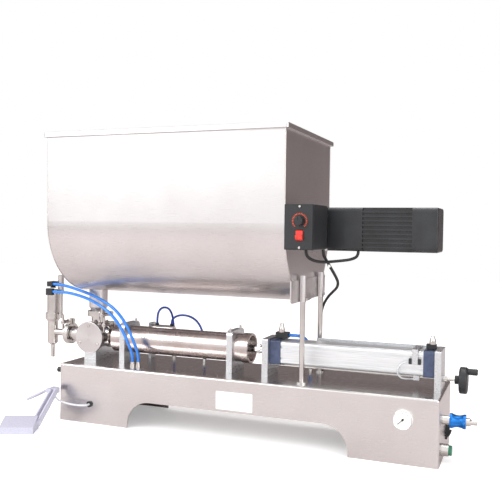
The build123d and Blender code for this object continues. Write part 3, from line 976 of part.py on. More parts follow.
# ------------------------------------------------------------------ export
NODES = {
    "base_cabinet": base_cabinet, "inner_tray": inner_tray, "control_valves": control_valves,
    "label_plate": label_plate, "gauge_case": gauge_case, "gauge_needle": gauge_needle,
    "panel_valves": panel_valves, "slide_sleeve": slide_sleeve,
    "green_button": green_button, "panel_grommets": panel_grommets, "power_rocker": power_rocker,
    "silver_fittings": silver_fittings, "product_cylinder": product_cylinder,
    "cylinder_supports": cylinder_supports, "bracket_caps": bracket_caps,
    "air_cylinder_brackets": air_cylinder_brackets, "air_cylinder_caps": air_cylinder_caps,
    "air_cylinder_barrel": air_cylinder_barrel, "piston_rod": piston_rod,
    "product_piston": product_piston, "lead_screw": lead_screw,
    "handwheel": handwheel, "sensor_carriage": sensor_carriage, "magnet_sensors": magnet_sensors,
    "valve_body": valve_body, "valve_cover": valve_cover, "valve_plug": valve_plug,
    "valve_rod": valve_rod, "valve_cylinder": valve_cylinder,
    "clamp_rings": clamp_rings, "pipe_gaskets": pipe_gaskets,
    "nozzle_body": nozzle_body, "nozzle_cylinder": nozzle_cylinder, "nozzle_plunger": nozzle_plunger,
    "black_fittings": black_fittings, "hopper_trough": hopper_trough,
    "hopper_end_plates": hopper_end_plates, "saddle_plate": saddle_plate, "support_legs": support_legs,
    "shaft_housings": shaft_housings, "gearmotor": gearmotor,
    "fan_cover": fan_cover, "mixer_shaft": mixer_shaft,
    "controller_housing": controller_housing, "speed_knob": speed_knob, "red_rocker": red_rocker,
    "fasteners": fasteners, "pedal_base": pedal_base, "pedal_tread": pedal_tread,
    "blue_tube_upper": blue_tube_upper, "blue_tube_lower": blue_tube_lower,
    "valve_tube_left": valve_tube_left, "valve_tube_right": valve_tube_right, "port_tube": port_tube,
    "sensor_cable": sensor_cable, "motor_lead": motor_lead, "mains_lead": mains_lead,
    "mains_coil": mains_coil, "mains_plug": mains_plug, "pedal_cable": pedal_cable,
}
os.makedirs("parts", exist_ok=True)
for label, builder in NODES.items():
    part = builder.part
    part.label = label
    export_step(part, f"parts/{label}.step")
    size = part.bounding_box().size
    print(f"{label}: {len(part.solids())} solid(s), {size.X:.1f} x {size.Y:.1f} x {size.Z:.1f} mm")
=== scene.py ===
# %% [markdown]
# # A piston liquid filler, finished in Blender
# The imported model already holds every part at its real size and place, in metres. This lesson only
# dresses it: first the camera, the light and the cords, then the materials one finish at a time,
# and last the small pieces that a plain model lacks, such as weld beads, dial marks and cable ties.

# %% Load the frame
import math

import bmesh
import bpy
from mathutils import Matrix, Vector


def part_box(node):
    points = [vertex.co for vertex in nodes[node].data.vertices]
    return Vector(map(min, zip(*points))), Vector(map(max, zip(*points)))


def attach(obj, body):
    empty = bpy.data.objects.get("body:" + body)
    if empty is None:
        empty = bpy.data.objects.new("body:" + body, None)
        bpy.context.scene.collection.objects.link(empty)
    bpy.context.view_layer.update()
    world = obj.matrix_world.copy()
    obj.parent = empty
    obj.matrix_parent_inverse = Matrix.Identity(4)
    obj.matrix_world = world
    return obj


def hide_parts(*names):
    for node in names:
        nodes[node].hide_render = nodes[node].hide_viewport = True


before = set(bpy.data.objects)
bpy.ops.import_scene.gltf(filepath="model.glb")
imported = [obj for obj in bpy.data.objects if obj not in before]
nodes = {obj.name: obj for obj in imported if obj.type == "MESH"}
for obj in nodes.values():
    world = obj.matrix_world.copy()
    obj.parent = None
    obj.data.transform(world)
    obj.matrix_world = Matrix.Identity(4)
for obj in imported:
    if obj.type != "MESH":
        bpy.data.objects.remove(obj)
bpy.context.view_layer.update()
scene = bpy.context.scene
MM = 0.001

# %% [markdown]
# ## Camera
# A machine this long is usually shown from slightly above its deck, turned by about twenty degrees,
# with a moderately long lens so that its parallel edges stay nearly parallel.
# The viewing direction is built from its yaw, pitch and roll, so each can be changed by itself.

# %% Camera
YAW, PITCH, ROLL = math.radians(21.48), math.radians(-1.71), math.radians(0.78)
forward = Vector((-math.sin(YAW) * math.cos(PITCH), math.cos(YAW) * math.cos(PITCH), math.sin(PITCH)))
right = Vector((math.cos(YAW), math.sin(YAW), 0))
up = right.cross(forward)
camera_right = right * math.cos(ROLL) + up * math.sin(ROLL)
camera_up = up * math.cos(ROLL) - right * math.sin(ROLL)

camera_data = bpy.data.cameras.new("studio_camera")
camera_data.sensor_width = 36
camera_data.lens = 51.13
camera = bpy.data.objects.new("studio_camera", camera_data)
camera.matrix_world = Matrix((
    (camera_right.x, camera_up.x, -forward.x, 0.6766),
    (camera_right.y, camera_up.y, -forward.y, -1.7099),
    (camera_right.z, camera_up.z, -forward.z, 0.5240),
    (0, 0, 0, 1),
))
scene.collection.objects.link(camera)
scene.camera = camera
print("camera at", [round(v, 3) for v in camera.location])

# %% [markdown]
# ## Helpers for pieces
# Every piece is linked to the scene, given a material and told which body it rides on. One helper
# does these three things, so that no piece is forgotten when the machine moves.

# %% Piece helpers
def place(piece, material=None, body="machine"):
    """Links a piece, gives it its material and makes it ride on a body."""
    scene.collection.objects.link(piece)
    if material is not None:
        piece.data.materials.clear()
        piece.data.materials.append(material)
    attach(piece, body)
    return piece


def mesh_piece(name, build):
    """Makes a mesh object; build(bm) adds its geometry."""
    bm = bmesh.new()
    build(bm)
    bmesh.ops.recalc_face_normals(bm, faces=bm.faces)
    mesh = bpy.data.meshes.new(name)
    bm.to_mesh(mesh)
    bm.free()
    return bpy.data.objects.new(name, mesh)


def soft_edges(piece, width, segments=2, angle=35):
    """Rounds the sharp edges of a piece and shades the rest smooth."""
    bevel = piece.modifiers.new("soft edges", "BEVEL")
    bevel.width = width
    bevel.segments = segments
    bevel.limit_method = "ANGLE"
    bevel.angle_limit = math.radians(angle)
    for face in piece.data.polygons:
        face.use_smooth = True
    normals = piece.modifiers.new("even shading", "WEIGHTED_NORMAL")
    normals.keep_sharp = True
    return piece


def add_box(bm, low, high):
    """Adds a box between two corners in millimetres."""
    size = [(b - a) * MM for a, b in zip(low, high)]
    middle = [(a + b) / 2 * MM for a, b in zip(low, high)]
    bmesh.ops.create_cube(bm, size=1, matrix=Matrix.Translation(middle) @ Matrix.Diagonal((*size, 1)))


def turn_to(axis):
    """Rotation that carries +Z to an axis."""
    return Vector((0, 0, 1)).rotation_difference(Vector(axis)).to_matrix().to_4x4()


def add_lathe(bm, profile, centre, axis, steps=48):
    """Turns a profile of (distance along the axis, radius) points, in millimetres."""
    where = Matrix.Translation([c * MM for c in centre]) @ turn_to(axis)
    rings = []
    for along, radius in profile:
        ring = []
        for i in range(steps):
            a = 2 * math.pi * i / steps
            ring.append(bm.verts.new(where @ Vector((math.cos(a) * radius * MM, math.sin(a) * radius * MM,
                                                     along * MM))))
        rings.append(ring)
    for a, b in zip(rings, rings[1:]):
        for i in range(steps):
            j = (i + 1) % steps
            bm.faces.new((a[i], a[j], b[j], b[i]))
    for ring in (rings[0], rings[-1]):
        bm.faces.new(ring)


def lathe_piece(name, profile, centre, axis, steps=48, edge=0.0004):
    """A turned piece with softly rounded edges."""
    piece = mesh_piece(name, lambda bm: add_lathe(bm, profile, centre, axis, steps))
    return soft_edges(piece, edge)


def rod_along(name, points, radius, closed=False):
    """A thin rod, bead or wire along points in millimetres; each point carries the real radius."""
    curve = bpy.data.curves.new(name, "CURVE")
    curve.dimensions = "3D"
    curve.bevel_depth = 1.0
    curve.bevel_resolution = 4
    curve.use_fill_caps = not closed
    spline = curve.splines.new("POLY")
    spline.points.add(len(points) - 1)
    for point, (x, y, z) in zip(spline.points, points):
        point.co = (x * MM, y * MM, z * MM, 1)
        point.radius = radius * MM
    spline.use_cyclic_u = closed
    return bpy.data.objects.new(name, curve)


print("piece helpers ready")

# %% [markdown]
# ## Cords
# Air tubes and cables are a fixed length of something flexible. Each is one smooth NURBS curve that
# passes near its control points, which are listed: straight out of the fitting, then over in
# the arc that a springy tube takes by itself, then straight into the next fitting.

# %% Cord helper
def cord_curve(name, points, diameter):
    """One smooth NURBS cord, from points in millimetres."""
    curve = bpy.data.curves.new(name, "CURVE")
    curve.dimensions = "3D"
    curve.bevel_depth = 1.0
    curve.bevel_resolution = 6
    curve.resolution_u = 10
    curve.use_fill_caps = True
    spline = curve.splines.new("NURBS")
    spline.points.add(len(points) - 1)
    for point, (x, y, z) in zip(spline.points, points):
        point.co = (x * MM, y * MM, z * MM, 1)
        point.radius = diameter / 2 * MM
    spline.order_u = 3
    spline.use_endpoint_u = True
    return bpy.data.objects.new(name, curve)


def lay_cord(node, points, diameter, length, body="machine"):
    """Lays a cord that leaves one fitting and enters another, in place of its CAD tube."""
    cord = cord_curve(node + "_cord", points, diameter)
    scene.collection.objects.link(cord)
    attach(cord, body)
    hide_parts(node)
    print(node, "laid,", length, "m")
    return cord


# %% Air tubes
BLUE_TUBE_D = 8.0
THIN_TUBE_D = 6.0
BLUE_UPPER = [
    (-599, -14, 357), (-580, -14, 357), (-542, -21, 353), (-490, -38, 345), (-440, -54, 336),
    (-400, -67, 325), (-363, -75, 310), (-335, -79, 289), (-316, -79, 265), (-303, -75, 237),
    (-294, -67, 206), (-289, -61, 183), (-289, -61, 165),
]
BLUE_LOWER = [
    (-592, -24.5, 336), (-575, -24.5, 336), (-542, -31, 337), (-494, -46, 333), (-448, -62, 326),
    (-408, -74, 315), (-374, -82, 300), (-347, -86, 280), (-328, -86, 257), (-315, -82, 231),
    (-307, -75, 205), (-303, -67, 184), (-303, -67, 165),
]
VALVE_TUBE_LEFT = [
    (-300, 62, 254), (-300, 62, 272), (-296, 64, 290), (-285, 69, 299), (-272, 76, 296),
    (-265, 83, 281), (-262, 87, 259), (-261, 89, 230), (-260, 90, 198), (-260, 90, 163),
]
VALVE_TUBE_RIGHT = [
    (-254, 62, 254), (-254, 62, 264), (-246, 62, 273), (-230, 61, 280), (-207, 60, 281),
    (-184, 60, 274), (-167, 61, 258), (-158, 63, 236), (-154, 65, 210), (-153, 66, 186),
    (-153, 66, 163),
]
PORT_TUBE = [
    (112, 8, 254), (124, 8, 254), (138, 20, 252), (147, 36, 244), (150, 52, 228), (151, 62, 206),
    (150, 71, 184), (150, 71, 163),
]
tubes = [
    lay_cord("blue_tube_upper", BLUE_UPPER, BLUE_TUBE_D, 0.422),
    lay_cord("blue_tube_lower", BLUE_LOWER, BLUE_TUBE_D, 0.393),
    lay_cord("port_tube", PORT_TUBE, BLUE_TUBE_D, 0.140),
]
thin_tubes = [
    lay_cord("valve_tube_left", VALVE_TUBE_LEFT, THIN_TUBE_D, 0.200),
    lay_cord("valve_tube_right", VALVE_TUBE_RIGHT, THIN_TUBE_D, 0.205),
]

# %% Cables
SENSOR_CABLE = [
    (420, -33, 217), (411, -33, 217), (400, -35, 210), (394, -35, 198), (395, -31, 185),
    (401, -23, 176), (410, -13, 173), (419, -7, 173), (427, -7, 173),
]
MOTOR_LEAD = [
    (206, -168, 478), (206, -168, 466), (212, -150, 456), (220, -124, 450), (230, -96, 448),
    (243, -73, 449), (262, -58, 451), (282, -48, 454), (298, -44, 462), (298, -44, 474),
]
PEDAL_CABLE = [
    (-497, -140, 78), (-497, -140, 68), (-489, -140, 60.5), (-476, -141, 56.5), (-461, -142, 54.5),
    (-446, -142, 53), (-431, -141, 52), (-417, -138, 51.5), (-404, -131, 51.5), (-404, -119, 51.5),
]
sensor_cable = lay_cord("sensor_cable", SENSOR_CABLE, 4.0, 0.093, "carriage")
motor_lead = lay_cord("motor_lead", MOTOR_LEAD, 7.0, 0.190)
pedal_cable = lay_cord("pedal_cable", PEDAL_CABLE, 5.0, 0.118)

# %% [markdown]
# ### The mains lead
# The lead leaves the speed controller, runs down behind the machine and ends in a round coil with its
# plug, put away as for storage. The coil is five turns: three on the floor and two lying on them.

# %% Mains lead and its coil
LEAD_D = 7.0
MAINS_LEAD = [
    (225, -92, 478), (225, -92, 466), (228, -78, 454), (233, -62, 438), (241, -42, 416),
    (243, -14, 396), (232, 18, 380), (212, 52, 366), (191, 80, 349), (174, 92, 323),
    (168.5, 93, 285), (169, 93.5, 245), (168.5, 93, 208), (170, 98, 181), (172, 112, 164),
    (175, 126, 146), (177, 130, 112), (182, 135, 76), (190, 139, 45), (202, 144, 21),
    (214, 149, 8), (230, 150.5, 4.5),
]
COIL_X, COIL_Y = 250.0, 196.0
TURN_RADII = (45.0, 38.0, 31.0, 34.5, 41.5)
TURN_HEIGHTS = (3.7, 3.7, 3.7, 9.9, 9.9)
POINTS_PER_TURN = 16
mains_points = list(MAINS_LEAD)
for turn in range(len(TURN_RADII)):
    after = min(turn + 1, len(TURN_RADII) - 1)
    for i in range(POINTS_PER_TURN):
        share = i / POINTS_PER_TURN
        change = max(0.0, share * 4 - 3)
        radius = TURN_RADII[turn] + (TURN_RADII[after] - TURN_RADII[turn]) * change
        height = TURN_HEIGHTS[turn] + (TURN_HEIGHTS[after] - TURN_HEIGHTS[turn]) * change
        angle = 2 * math.pi * share - math.pi / 2
        mains_points.append((COIL_X + radius * math.cos(angle), COIL_Y + radius * math.sin(angle), height))
PLUG_Y = COIL_Y - TURN_RADII[-1]
mains_points += [(COIL_X, PLUG_Y, 11), (COIL_X + 16, PLUG_Y, 11.5), (COIL_X + 32, PLUG_Y, 10),
                 (COIL_X + 48, PLUG_Y, 9)]
mains_lead = cord_curve("mains_lead_cord", mains_points, LEAD_D)
scene.collection.objects.link(mains_lead)
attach(mains_lead, "machine")
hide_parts("mains_lead", "mains_coil")


def build_plug(bm):
    """Moulded plug body with a waist, two flat pins and a ribbed neck."""
    x = COIL_X + 48
    add_lathe(bm, [(0, 4), (3, 5), (5, 4.4), (8, 5.4), (10, 4.8), (13, 6), (15, 5.4), (17, 7)],
              (x - 17 + 6, PLUG_Y, 9), (1, 0, 0), 24)
    add_box(bm, (x + 5, PLUG_Y - 11, 1.2), (x + 34, PLUG_Y + 11, 16.8))
    for side in (-6.5, 6.5):
        add_box(bm, (x + 34, PLUG_Y + side - 0.8, 6), (x + 50, PLUG_Y + side + 0.8, 12))


plug = soft_edges(mesh_piece("mains_plug_moulded", build_plug), 1.6 * MM, 3)
scene.collection.objects.link(plug)
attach(plug, "machine")
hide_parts("mains_plug")
print("mains lead has", len(mains_points), "control points")

# %% [markdown]
# ## Light and floor
# Bright metal shows what surrounds it, so the room matters more than the lamps. In front of the machine
# the room is white, like a large soft box, and behind it the room is dark. So the front walls come out
# bright, and the deck and the end faces dark. The camera itself sees a white backdrop.

# %% Colours and nodes
def colour(code):
    """Linear colour from an sRGB hex code."""
    parts = [int(code[i:i + 2], 16) / 255 for i in (1, 3, 5)]
    parts = [p / 12.92 if p <= 0.04045 else ((p + 0.055) / 1.055) ** 2.4 for p in parts]
    return (*parts, 1.0)


def add_node(tree, kind, inputs=None, **settings):
    """Adds a node, sets its properties, and fills or links its inputs."""
    node = tree.nodes.new(kind)
    for key, value in settings.items():
        setattr(node, key, value)
    for key, value in (inputs or {}).items():
        if isinstance(value, bpy.types.NodeSocket):
            tree.links.new(value, node.inputs[key])
        else:
            node.inputs[key].default_value = value
    return node


print("colour check:", [round(v, 3) for v in colour("#808080")[:3]])

# %% Room, lamps and floor
world = bpy.data.worlds.new("studio")
scene.world = world
world.use_nodes = True
sky = world.node_tree
sky.nodes.clear()
direction = add_node(sky, "ShaderNodeTexCoord")
split = add_node(sky, "ShaderNodeSeparateXYZ", {"Vector": direction.outputs["Generated"]})
ahead = add_node(sky, "ShaderNodeMapRange", {
    "Value": split.outputs["Y"], "From Min": 0.75, "From Max": -0.35}, interpolation_type="SMOOTHSTEP")
ramp = add_node(sky, "ShaderNodeValToRGB", {"Fac": ahead.outputs["Result"]})
ramp.color_ramp.elements[0].color = colour("#6f6665")
ramp.color_ramp.elements[1].color = colour("#ffffff")
ramp.color_ramp.elements.new(0.45).color = colour("#b5aeae")
seen = add_node(sky, "ShaderNodeLightPath").outputs["Is Camera Ray"]
room = add_node(sky, "ShaderNodeMix", {"Factor": seen, 6: ramp.outputs["Color"], 7: colour("#ffffff")},
                data_type="RGBA")
power = add_node(sky, "ShaderNodeMapRange", {"Value": seen, "To Min": 1.35, "To Max": 1.0})
light = add_node(sky, "ShaderNodeBackground", {"Color": room.outputs[2], "Strength": power.outputs["Result"]})
add_node(sky, "ShaderNodeOutputWorld", {"Surface": light.outputs["Background"]})


def soft_light(name, place_at, look_at, size, watts):
    """A square area light that looks at a point."""
    lamp = bpy.data.lights.new(name, "AREA")
    lamp.size = size
    lamp.energy = watts
    holder = bpy.data.objects.new(name, lamp)
    holder.location = place_at
    holder.rotation_euler = (Vector(look_at) - Vector(place_at)).to_track_quat("-Z", "Y").to_euler()
    scene.collection.objects.link(holder)


soft_light("key_light", (-1.6, -1.9, 1.9), (0, 0, 0.35), 1.4, 38)
soft_light("fill_light", (2.2, -1.4, 1.3), (0, 0, 0.35), 1.6, 16)
soft_light("top_light", (0.2, 0.5, 2.4), (0, 0, 0.3), 1.6, 26)


def build_floor(bm):
    bmesh.ops.create_grid(bm, x_segments=8, y_segments=8, size=6)


floor = mesh_piece("floor", build_floor)
floor.location.z = -0.0002
scene.collection.objects.link(floor)
floor_paint = bpy.data.materials.new("pale_floor")
floor_paint.use_nodes = True
floor_shader = floor_paint.node_tree.nodes["Principled BSDF"]
floor_shader.inputs["Roughness"].default_value = 0.6
mirrored = add_node(floor_paint.node_tree, "ShaderNodeLightPath").outputs["Is Glossy Ray"]
floor_tone = add_node(floor_paint.node_tree, "ShaderNodeMix", {
    "Factor": mirrored, 6: colour("#fafafa"), 7: colour("#d6cecd")}, data_type="RGBA")
floor_paint.node_tree.links.new(floor_tone.outputs[2], floor_shader.inputs["Base Color"])
glow = add_node(floor_paint.node_tree, "ShaderNodeMapRange", {
    "Value": mirrored, "To Min": 0.32, "To Max": 0.0})
floor_paint.node_tree.links.new(glow.outputs["Result"], floor_shader.inputs["Emission Strength"])
floor_shader.inputs["Emission Color"].default_value = colour("#ffffff")
floor.data.materials.append(floor_paint)
scene.view_settings.view_transform = "Standard"
print("three lamps and a floor")

# %% [markdown]
# ## Materials
# Each finish starts from what the real surface is and how it was made. They share one skeleton: a
# shader, the object's own coordinates in metres, and a grain made of stretched noise, whose size is
# given in millimetres. What differs is the colour, the gloss, and the grain's size and direction.

# %% Material skeleton
class Finish:
    """A material with its shader and its coordinates at hand."""

    def __init__(self, name, base, metallic, roughness, **sockets):
        self.material = bpy.data.materials.new(name)
        self.material.use_nodes = True
        self.tree = self.material.node_tree
        self.shader = self.tree.nodes["Principled BSDF"]
        self.set(**{"Base Color": colour(base), "Metallic": metallic, "Roughness": roughness, **sockets})
        self.where = add_node(self.tree, "ShaderNodeTexCoord").outputs["Object"]

    def set(self, **sockets):
        for key, value in sockets.items():
            if isinstance(value, bpy.types.NodeSocket):
                self.tree.links.new(value, self.shader.inputs[key])
            else:
                self.shader.inputs[key].default_value = value

    def grain(self, size_mm, stretch=(1, 1, 1), detail=3.0):
        """Noise whose patches are size_mm across, made longer by a smaller stretch."""
        turned = add_node(self.tree, "ShaderNodeMapping", {"Vector": self.where, "Scale": stretch})
        noise = add_node(self.tree, "ShaderNodeTexNoise", {
            "Vector": turned.outputs["Vector"], "Scale": 1 / (size_mm * MM), "Detail": detail})
        return noise.outputs["Fac"]

    def spread(self, value, low, high):
        """Turns a grain into a range of numbers."""
        mapped = add_node(self.tree, "ShaderNodeMapRange", {
            "Value": value, "From Min": 0.3, "From Max": 0.7, "To Min": low, "To Max": high})
        return mapped.outputs["Result"]

    def shade(self, value, dark, light):
        """Colours a grain from dark to light."""
        mixed = add_node(self.tree, "ShaderNodeMix", {
            "Factor": self.spread(value, 0, 1), 6: colour(dark), 7: colour(light)}, data_type="RGBA")
        return mixed.outputs[2]

    def relief(self, value, depth_mm, strength=1.0):
        """Raises a grain by a real depth."""
        bump = add_node(self.tree, "ShaderNodeBump", {
            "Height": value, "Distance": depth_mm * MM, "Strength": strength})
        self.set(Normal=bump.outputs["Normal"])


print("finish skeleton ready")

# %% [markdown]
# ### Stainless steel, six ways
# Food machines are 304 stainless. The hopper is rolled from brushed sheet, whose grain runs along its
# length and blurs reflections one way. The cabinet is satin sheet with a finer grain. Turned parts and
# pipes are polished, and rods are ground and chromed. Real grit is under 0.2 mm, too fine to show
# here, so the streaks are drawn a few times coarser. The cylinder is honed, and the round valve cover
# is faced on a lathe, so its highlight spreads along its radii.

# %% Six steels
brushed = Finish("brushed_stainless_sheet", "#d4d0d0", 1.0, 0.30)
streaks = brushed.grain(1.0, (0.02, 1, 1), 2)
brushed.set(**{"Base Color": brushed.shade(brushed.grain(200), "#cfcbcb", "#dad7d7"),
               "Roughness": brushed.spread(streaks, 0.26, 0.34)})
brushed.relief(streaks, 0.002, 0.4)

satin = Finish("satin_stainless_sheet", "#d2cecd", 1.0, 0.24)
satin_streaks = satin.grain(0.9, (0.03, 1, 1), 2)
satin.set(**{"Base Color": satin.shade(satin.grain(180), "#cdc9c8", "#d7d4d3"),
             "Roughness": satin.spread(satin_streaks, 0.20, 0.28)})
satin.relief(satin_streaks, 0.002, 0.4)

polished = Finish("polished_stainless", "#cfcbc8", 1.0, 0.16)
polished.set(**{"Roughness": polished.spread(polished.grain(9, (0.2, 1, 1)), 0.13, 0.20),
                "Base Color": polished.shade(polished.grain(30), "#c9c5c2", "#d5d2cf")})

honed = Finish("honed_cylinder_steel", "#b9adaa", 1.0, 0.26)
honed_rings = honed.grain(30, (1, 1, 1), 2)
honed.set(**{"Base Color": honed.shade(honed.grain(60), "#b1a5a2", "#c2b8b5"),
             "Roughness": honed.spread(honed_rings, 0.22, 0.30)})

turned = Finish("turned_cover_steel", "#cdcaca", 1.0, 0.24, **{"Anisotropic": 0.8})
turned_axis = add_node(turned.tree, "ShaderNodeTangent", direction_type="RADIAL", axis="Y")
turned.set(**{"Tangent": turned_axis.outputs["Tangent"],
              "Roughness": turned.spread(turned.grain(1.5), 0.20, 0.28)})

chromed = Finish("hard_chromed_rod", "#dcdcde", 1.0, 0.06)
chromed.set(Roughness=chromed.spread(chromed.grain(3, (0.1, 1, 1)), 0.04, 0.10))
print("six steels")

# %% [markdown]
# ### Aluminium
# The brackets and the cylinder barrel are silver-anodised aluminium: a matt oxide skin over an
# extruded or milled shape, with faint draw lines along the extrusion. Dyed anodising colours the
# air-inlet sleeve blue.

# %% Anodised aluminium
anodised = Finish("silver_anodised_aluminium", "#dfe1e3", 0.85, 0.38)
draw_lines = anodised.grain(1.6, (0.02, 1, 1), 2)
anodised.set(**{"Base Color": anodised.shade(draw_lines, "#d3d6d9", "#eceeef"),
                "Roughness": anodised.spread(draw_lines, 0.33, 0.45)})
anodised.relief(draw_lines, 0.01)

milled = Finish("milled_bracket_aluminium", "#cfd1d3", 0.9, 0.32)
cutter_marks = milled.grain(2.2, (1, 0.15, 1), 2)
milled.set(**{"Base Color": milled.shade(cutter_marks, "#c2c5c8", "#dcdee0"),
              "Roughness": milled.spread(cutter_marks, 0.25, 0.40)})
milled.relief(cutter_marks, 0.012)

blue_dye = Finish("blue_anodised_sleeve", "#1d6fc4", 0.75, 0.30)
blue_dye.set(**{"Base Color": blue_dye.shade(blue_dye.grain(4, (0.2, 1, 1)), "#155aa8", "#2f86dc"),
                "Roughness": blue_dye.spread(blue_dye.grain(1.5, (0.1, 1, 1)), 0.24, 0.38)})

navy = Finish("dark_blue_enamel_caps", "#34405e", 0.0, 0.36, **{"Coat Weight": 0.3})
navy.set(**{"Base Color": navy.shade(navy.grain(12), "#2c3752", "#3e4b6c"),
            "Roughness": navy.spread(navy.grain(1.5), 0.32, 0.44)})
navy.relief(navy.grain(1.2), 0.03)
print("aluminium and enamel")

# %% [markdown]
# ### Plastics, paint and rubber
# Housings are moulded ABS with a fine spark-eroded texture. The motor is cast aluminium under black
# powder paint, which has a soft orange-peel. Tubes are polyurethane, clear enough for light to enter.

# %% Black plastic and black paint
abs_black = Finish("moulded_black_abs", "#1d1e21", 0.0, 0.42)
abs_grain = abs_black.grain(0.9)
abs_black.set(**{"Base Color": abs_black.shade(abs_grain, "#17181a", "#25272a"),
                 "Roughness": abs_black.spread(abs_grain, 0.36, 0.50)})
abs_black.relief(abs_grain, 0.02)

powder = Finish("black_powder_paint", "#1a1b1e", 0.0, 0.34, **{"Coat Weight": 0.15})
peel = powder.grain(2.2)
powder.set(**{"Base Color": powder.shade(powder.grain(40), "#151619", "#222428"),
              "Roughness": powder.spread(peel, 0.30, 0.44)})
powder.relief(peel, 0.04)

rubber = Finish("black_cable_rubber", "#19191a", 0.0, 0.55)
rubber.set(**{"Base Color": rubber.shade(rubber.grain(3), "#131314", "#222223"),
              "Roughness": rubber.spread(rubber.grain(1), 0.48, 0.62)})
grey_pvc = Finish("grey_cable_pvc", "#c9cacd", 0.0, 0.5)
grey_pvc.set(**{"Base Color": grey_pvc.shade(grey_pvc.grain(6), "#c2c3c7", "#d2d3d6")})
print("black finishes")

# %% Tubes, buttons, dial and gaskets
tube_blue = Finish("blue_polyurethane_tube", "#2a86e8", 0.0, 0.22,
                   **{"Transmission Weight": 0.25, "IOR": 1.5, "Coat Weight": 0.2})
tube_blue.set(**{"Base Color": tube_blue.shade(tube_blue.grain(14), "#237de2", "#3490f0"),
                 "Roughness": tube_blue.spread(tube_blue.grain(3), 0.18, 0.30)})
tube_navy = Finish("navy_polyurethane_tube", "#1f3f9c", 0.0, 0.25, **{"IOR": 1.5, "Coat Weight": 0.2})
tube_navy.set(**{"Base Color": tube_navy.shade(tube_navy.grain(14), "#1a3588", "#2a50b8"),
                 "Roughness": tube_navy.spread(tube_navy.grain(3), 0.2, 0.32)})
green = Finish("moulded_green_button", "#12684c", 0.0, 0.3, **{"Coat Weight": 0.3})
green.set(**{"Base Color": green.shade(green.grain(5), "#0f5d43", "#177657"),
             "Roughness": green.spread(green.grain(1), 0.26, 0.38)})
red = Finish("moulded_red_rocker", "#cf2a1f", 0.0, 0.3, **{"Coat Weight": 0.3})
red.set(**{"Base Color": red.shade(red.grain(5), "#bd2219", "#de362a"),
           "Roughness": red.spread(red.grain(1), 0.26, 0.38)})
enamel = Finish("white_dial_enamel", "#f4f3ee", 0.0, 0.35)
enamel.set(**{"Base Color": enamel.shade(enamel.grain(8), "#efeee8", "#faf9f6"),
              "Roughness": enamel.spread(enamel.grain(2), 0.3, 0.42)})
label_paint = Finish("printed_label_plate", "#dcdddf", 0.3, 0.4)
label_paint.set(**{"Base Color": label_paint.shade(label_paint.grain(12), "#dcdde0", "#e8e9eb"),
                   "Roughness": label_paint.spread(label_paint.grain(1.5, (0.1, 1, 1)), 0.34, 0.48)})
silicone = Finish("milky_silicone_gasket", "#e6e2d6", 0.0, 0.5, **{"Subsurface Weight": 0.1})
silicone.set(**{"Base Color": silicone.shade(silicone.grain(4), "#ddd8ca", "#efece2")})
pedal_paint = Finish("lavender_hammer_enamel", "#b4b3c2", 0.0, 0.42)
hammer = pedal_paint.grain(3)
pedal_paint.set(**{"Base Color": pedal_paint.shade(hammer, "#adacbb", "#bcbbca"),
                   "Roughness": pedal_paint.spread(hammer, 0.36, 0.5)})
pedal_paint.relief(hammer, 0.02)
ink = Finish("black_printing_ink", "#202022", 0.0, 0.5)
ink.set(Roughness=ink.spread(ink.grain(1), 0.42, 0.58))
orange_ink = Finish("orange_printing_ink", "#e8502a", 0.0, 0.45)
orange_ink.set(**{"Base Color": orange_ink.shade(orange_ink.grain(2), "#de4520", "#f06238")})
pump_green = Finish("valve_block_grey", "#7c8085", 0.6, 0.42)
pump_green.set(**{"Base Color": pump_green.shade(pump_green.grain(6), "#70747a", "#8a8e94")})
print("plastics done")

# %% Dress the CAD nodes
DRESS = {
    brushed: ["hopper_trough", "hopper_end_plates", "saddle_plate"],
    satin: ["base_cabinet", "inner_tray"],
    polished: ["panel_valves", "silver_fittings", "product_piston", "valve_body", "valve_plug", "valve_rod",
               "valve_cylinder", "clamp_rings", "nozzle_body", "nozzle_cylinder", "support_legs",
               "shaft_housings", "mixer_shaft", "fasteners", "lead_screw"],
    honed: ["product_cylinder"],
    turned: ["valve_cover"],
    chromed: ["piston_rod", "nozzle_plunger"],
    anodised: ["air_cylinder_barrel"],
    milled: ["cylinder_supports", "bracket_caps", "air_cylinder_brackets", "sensor_carriage"],
    blue_dye: ["slide_sleeve"],
    navy: ["air_cylinder_caps"],
    abs_black: ["panel_grommets", "power_rocker", "handwheel", "magnet_sensors", "black_fittings",
                "controller_housing", "speed_knob"],
    powder: ["gearmotor", "fan_cover"],
    rubber: [],
    green: ["green_button"],
    red: ["red_rocker"],
    enamel: ["gauge_case"],
    ink: ["gauge_needle"],
    label_paint: ["label_plate"],
    silicone: ["pipe_gaskets"],
    pedal_paint: ["pedal_base", "pedal_tread"],
    pump_green: ["control_valves"],
}
for finish, names in DRESS.items():
    for name in names:
        nodes[name].data.materials.clear()
        nodes[name].data.materials.append(finish.material)
for finish, pieces in ((tube_blue, tubes), (tube_navy, thin_tubes), (grey_pvc, [sensor_cable, pedal_cable]),
                       (rubber, [motor_lead, mains_lead, plug])):
    for piece in pieces:
        piece.data.materials.clear()
        piece.data.materials.append(finish.material)
print(sum(len(names) for names in DRESS.values()), "nodes dressed")

# %% [markdown]
# ## Small pieces
# The plain model has no marks or joints of its own. These are the pieces that an eye looks for: the
# gauge's ring and scale, the speed scale, screw heads, weld beads and cable ties. Some places come
# from the box of the node that the piece sits on; the rest are given in millimetres.

# %% Places from the CAD boxes
def box_mm(name):
    """Lowest and highest corner of a node, in millimetres."""
    low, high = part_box(name)
    return [v / MM for v in low], [v / MM for v in high]


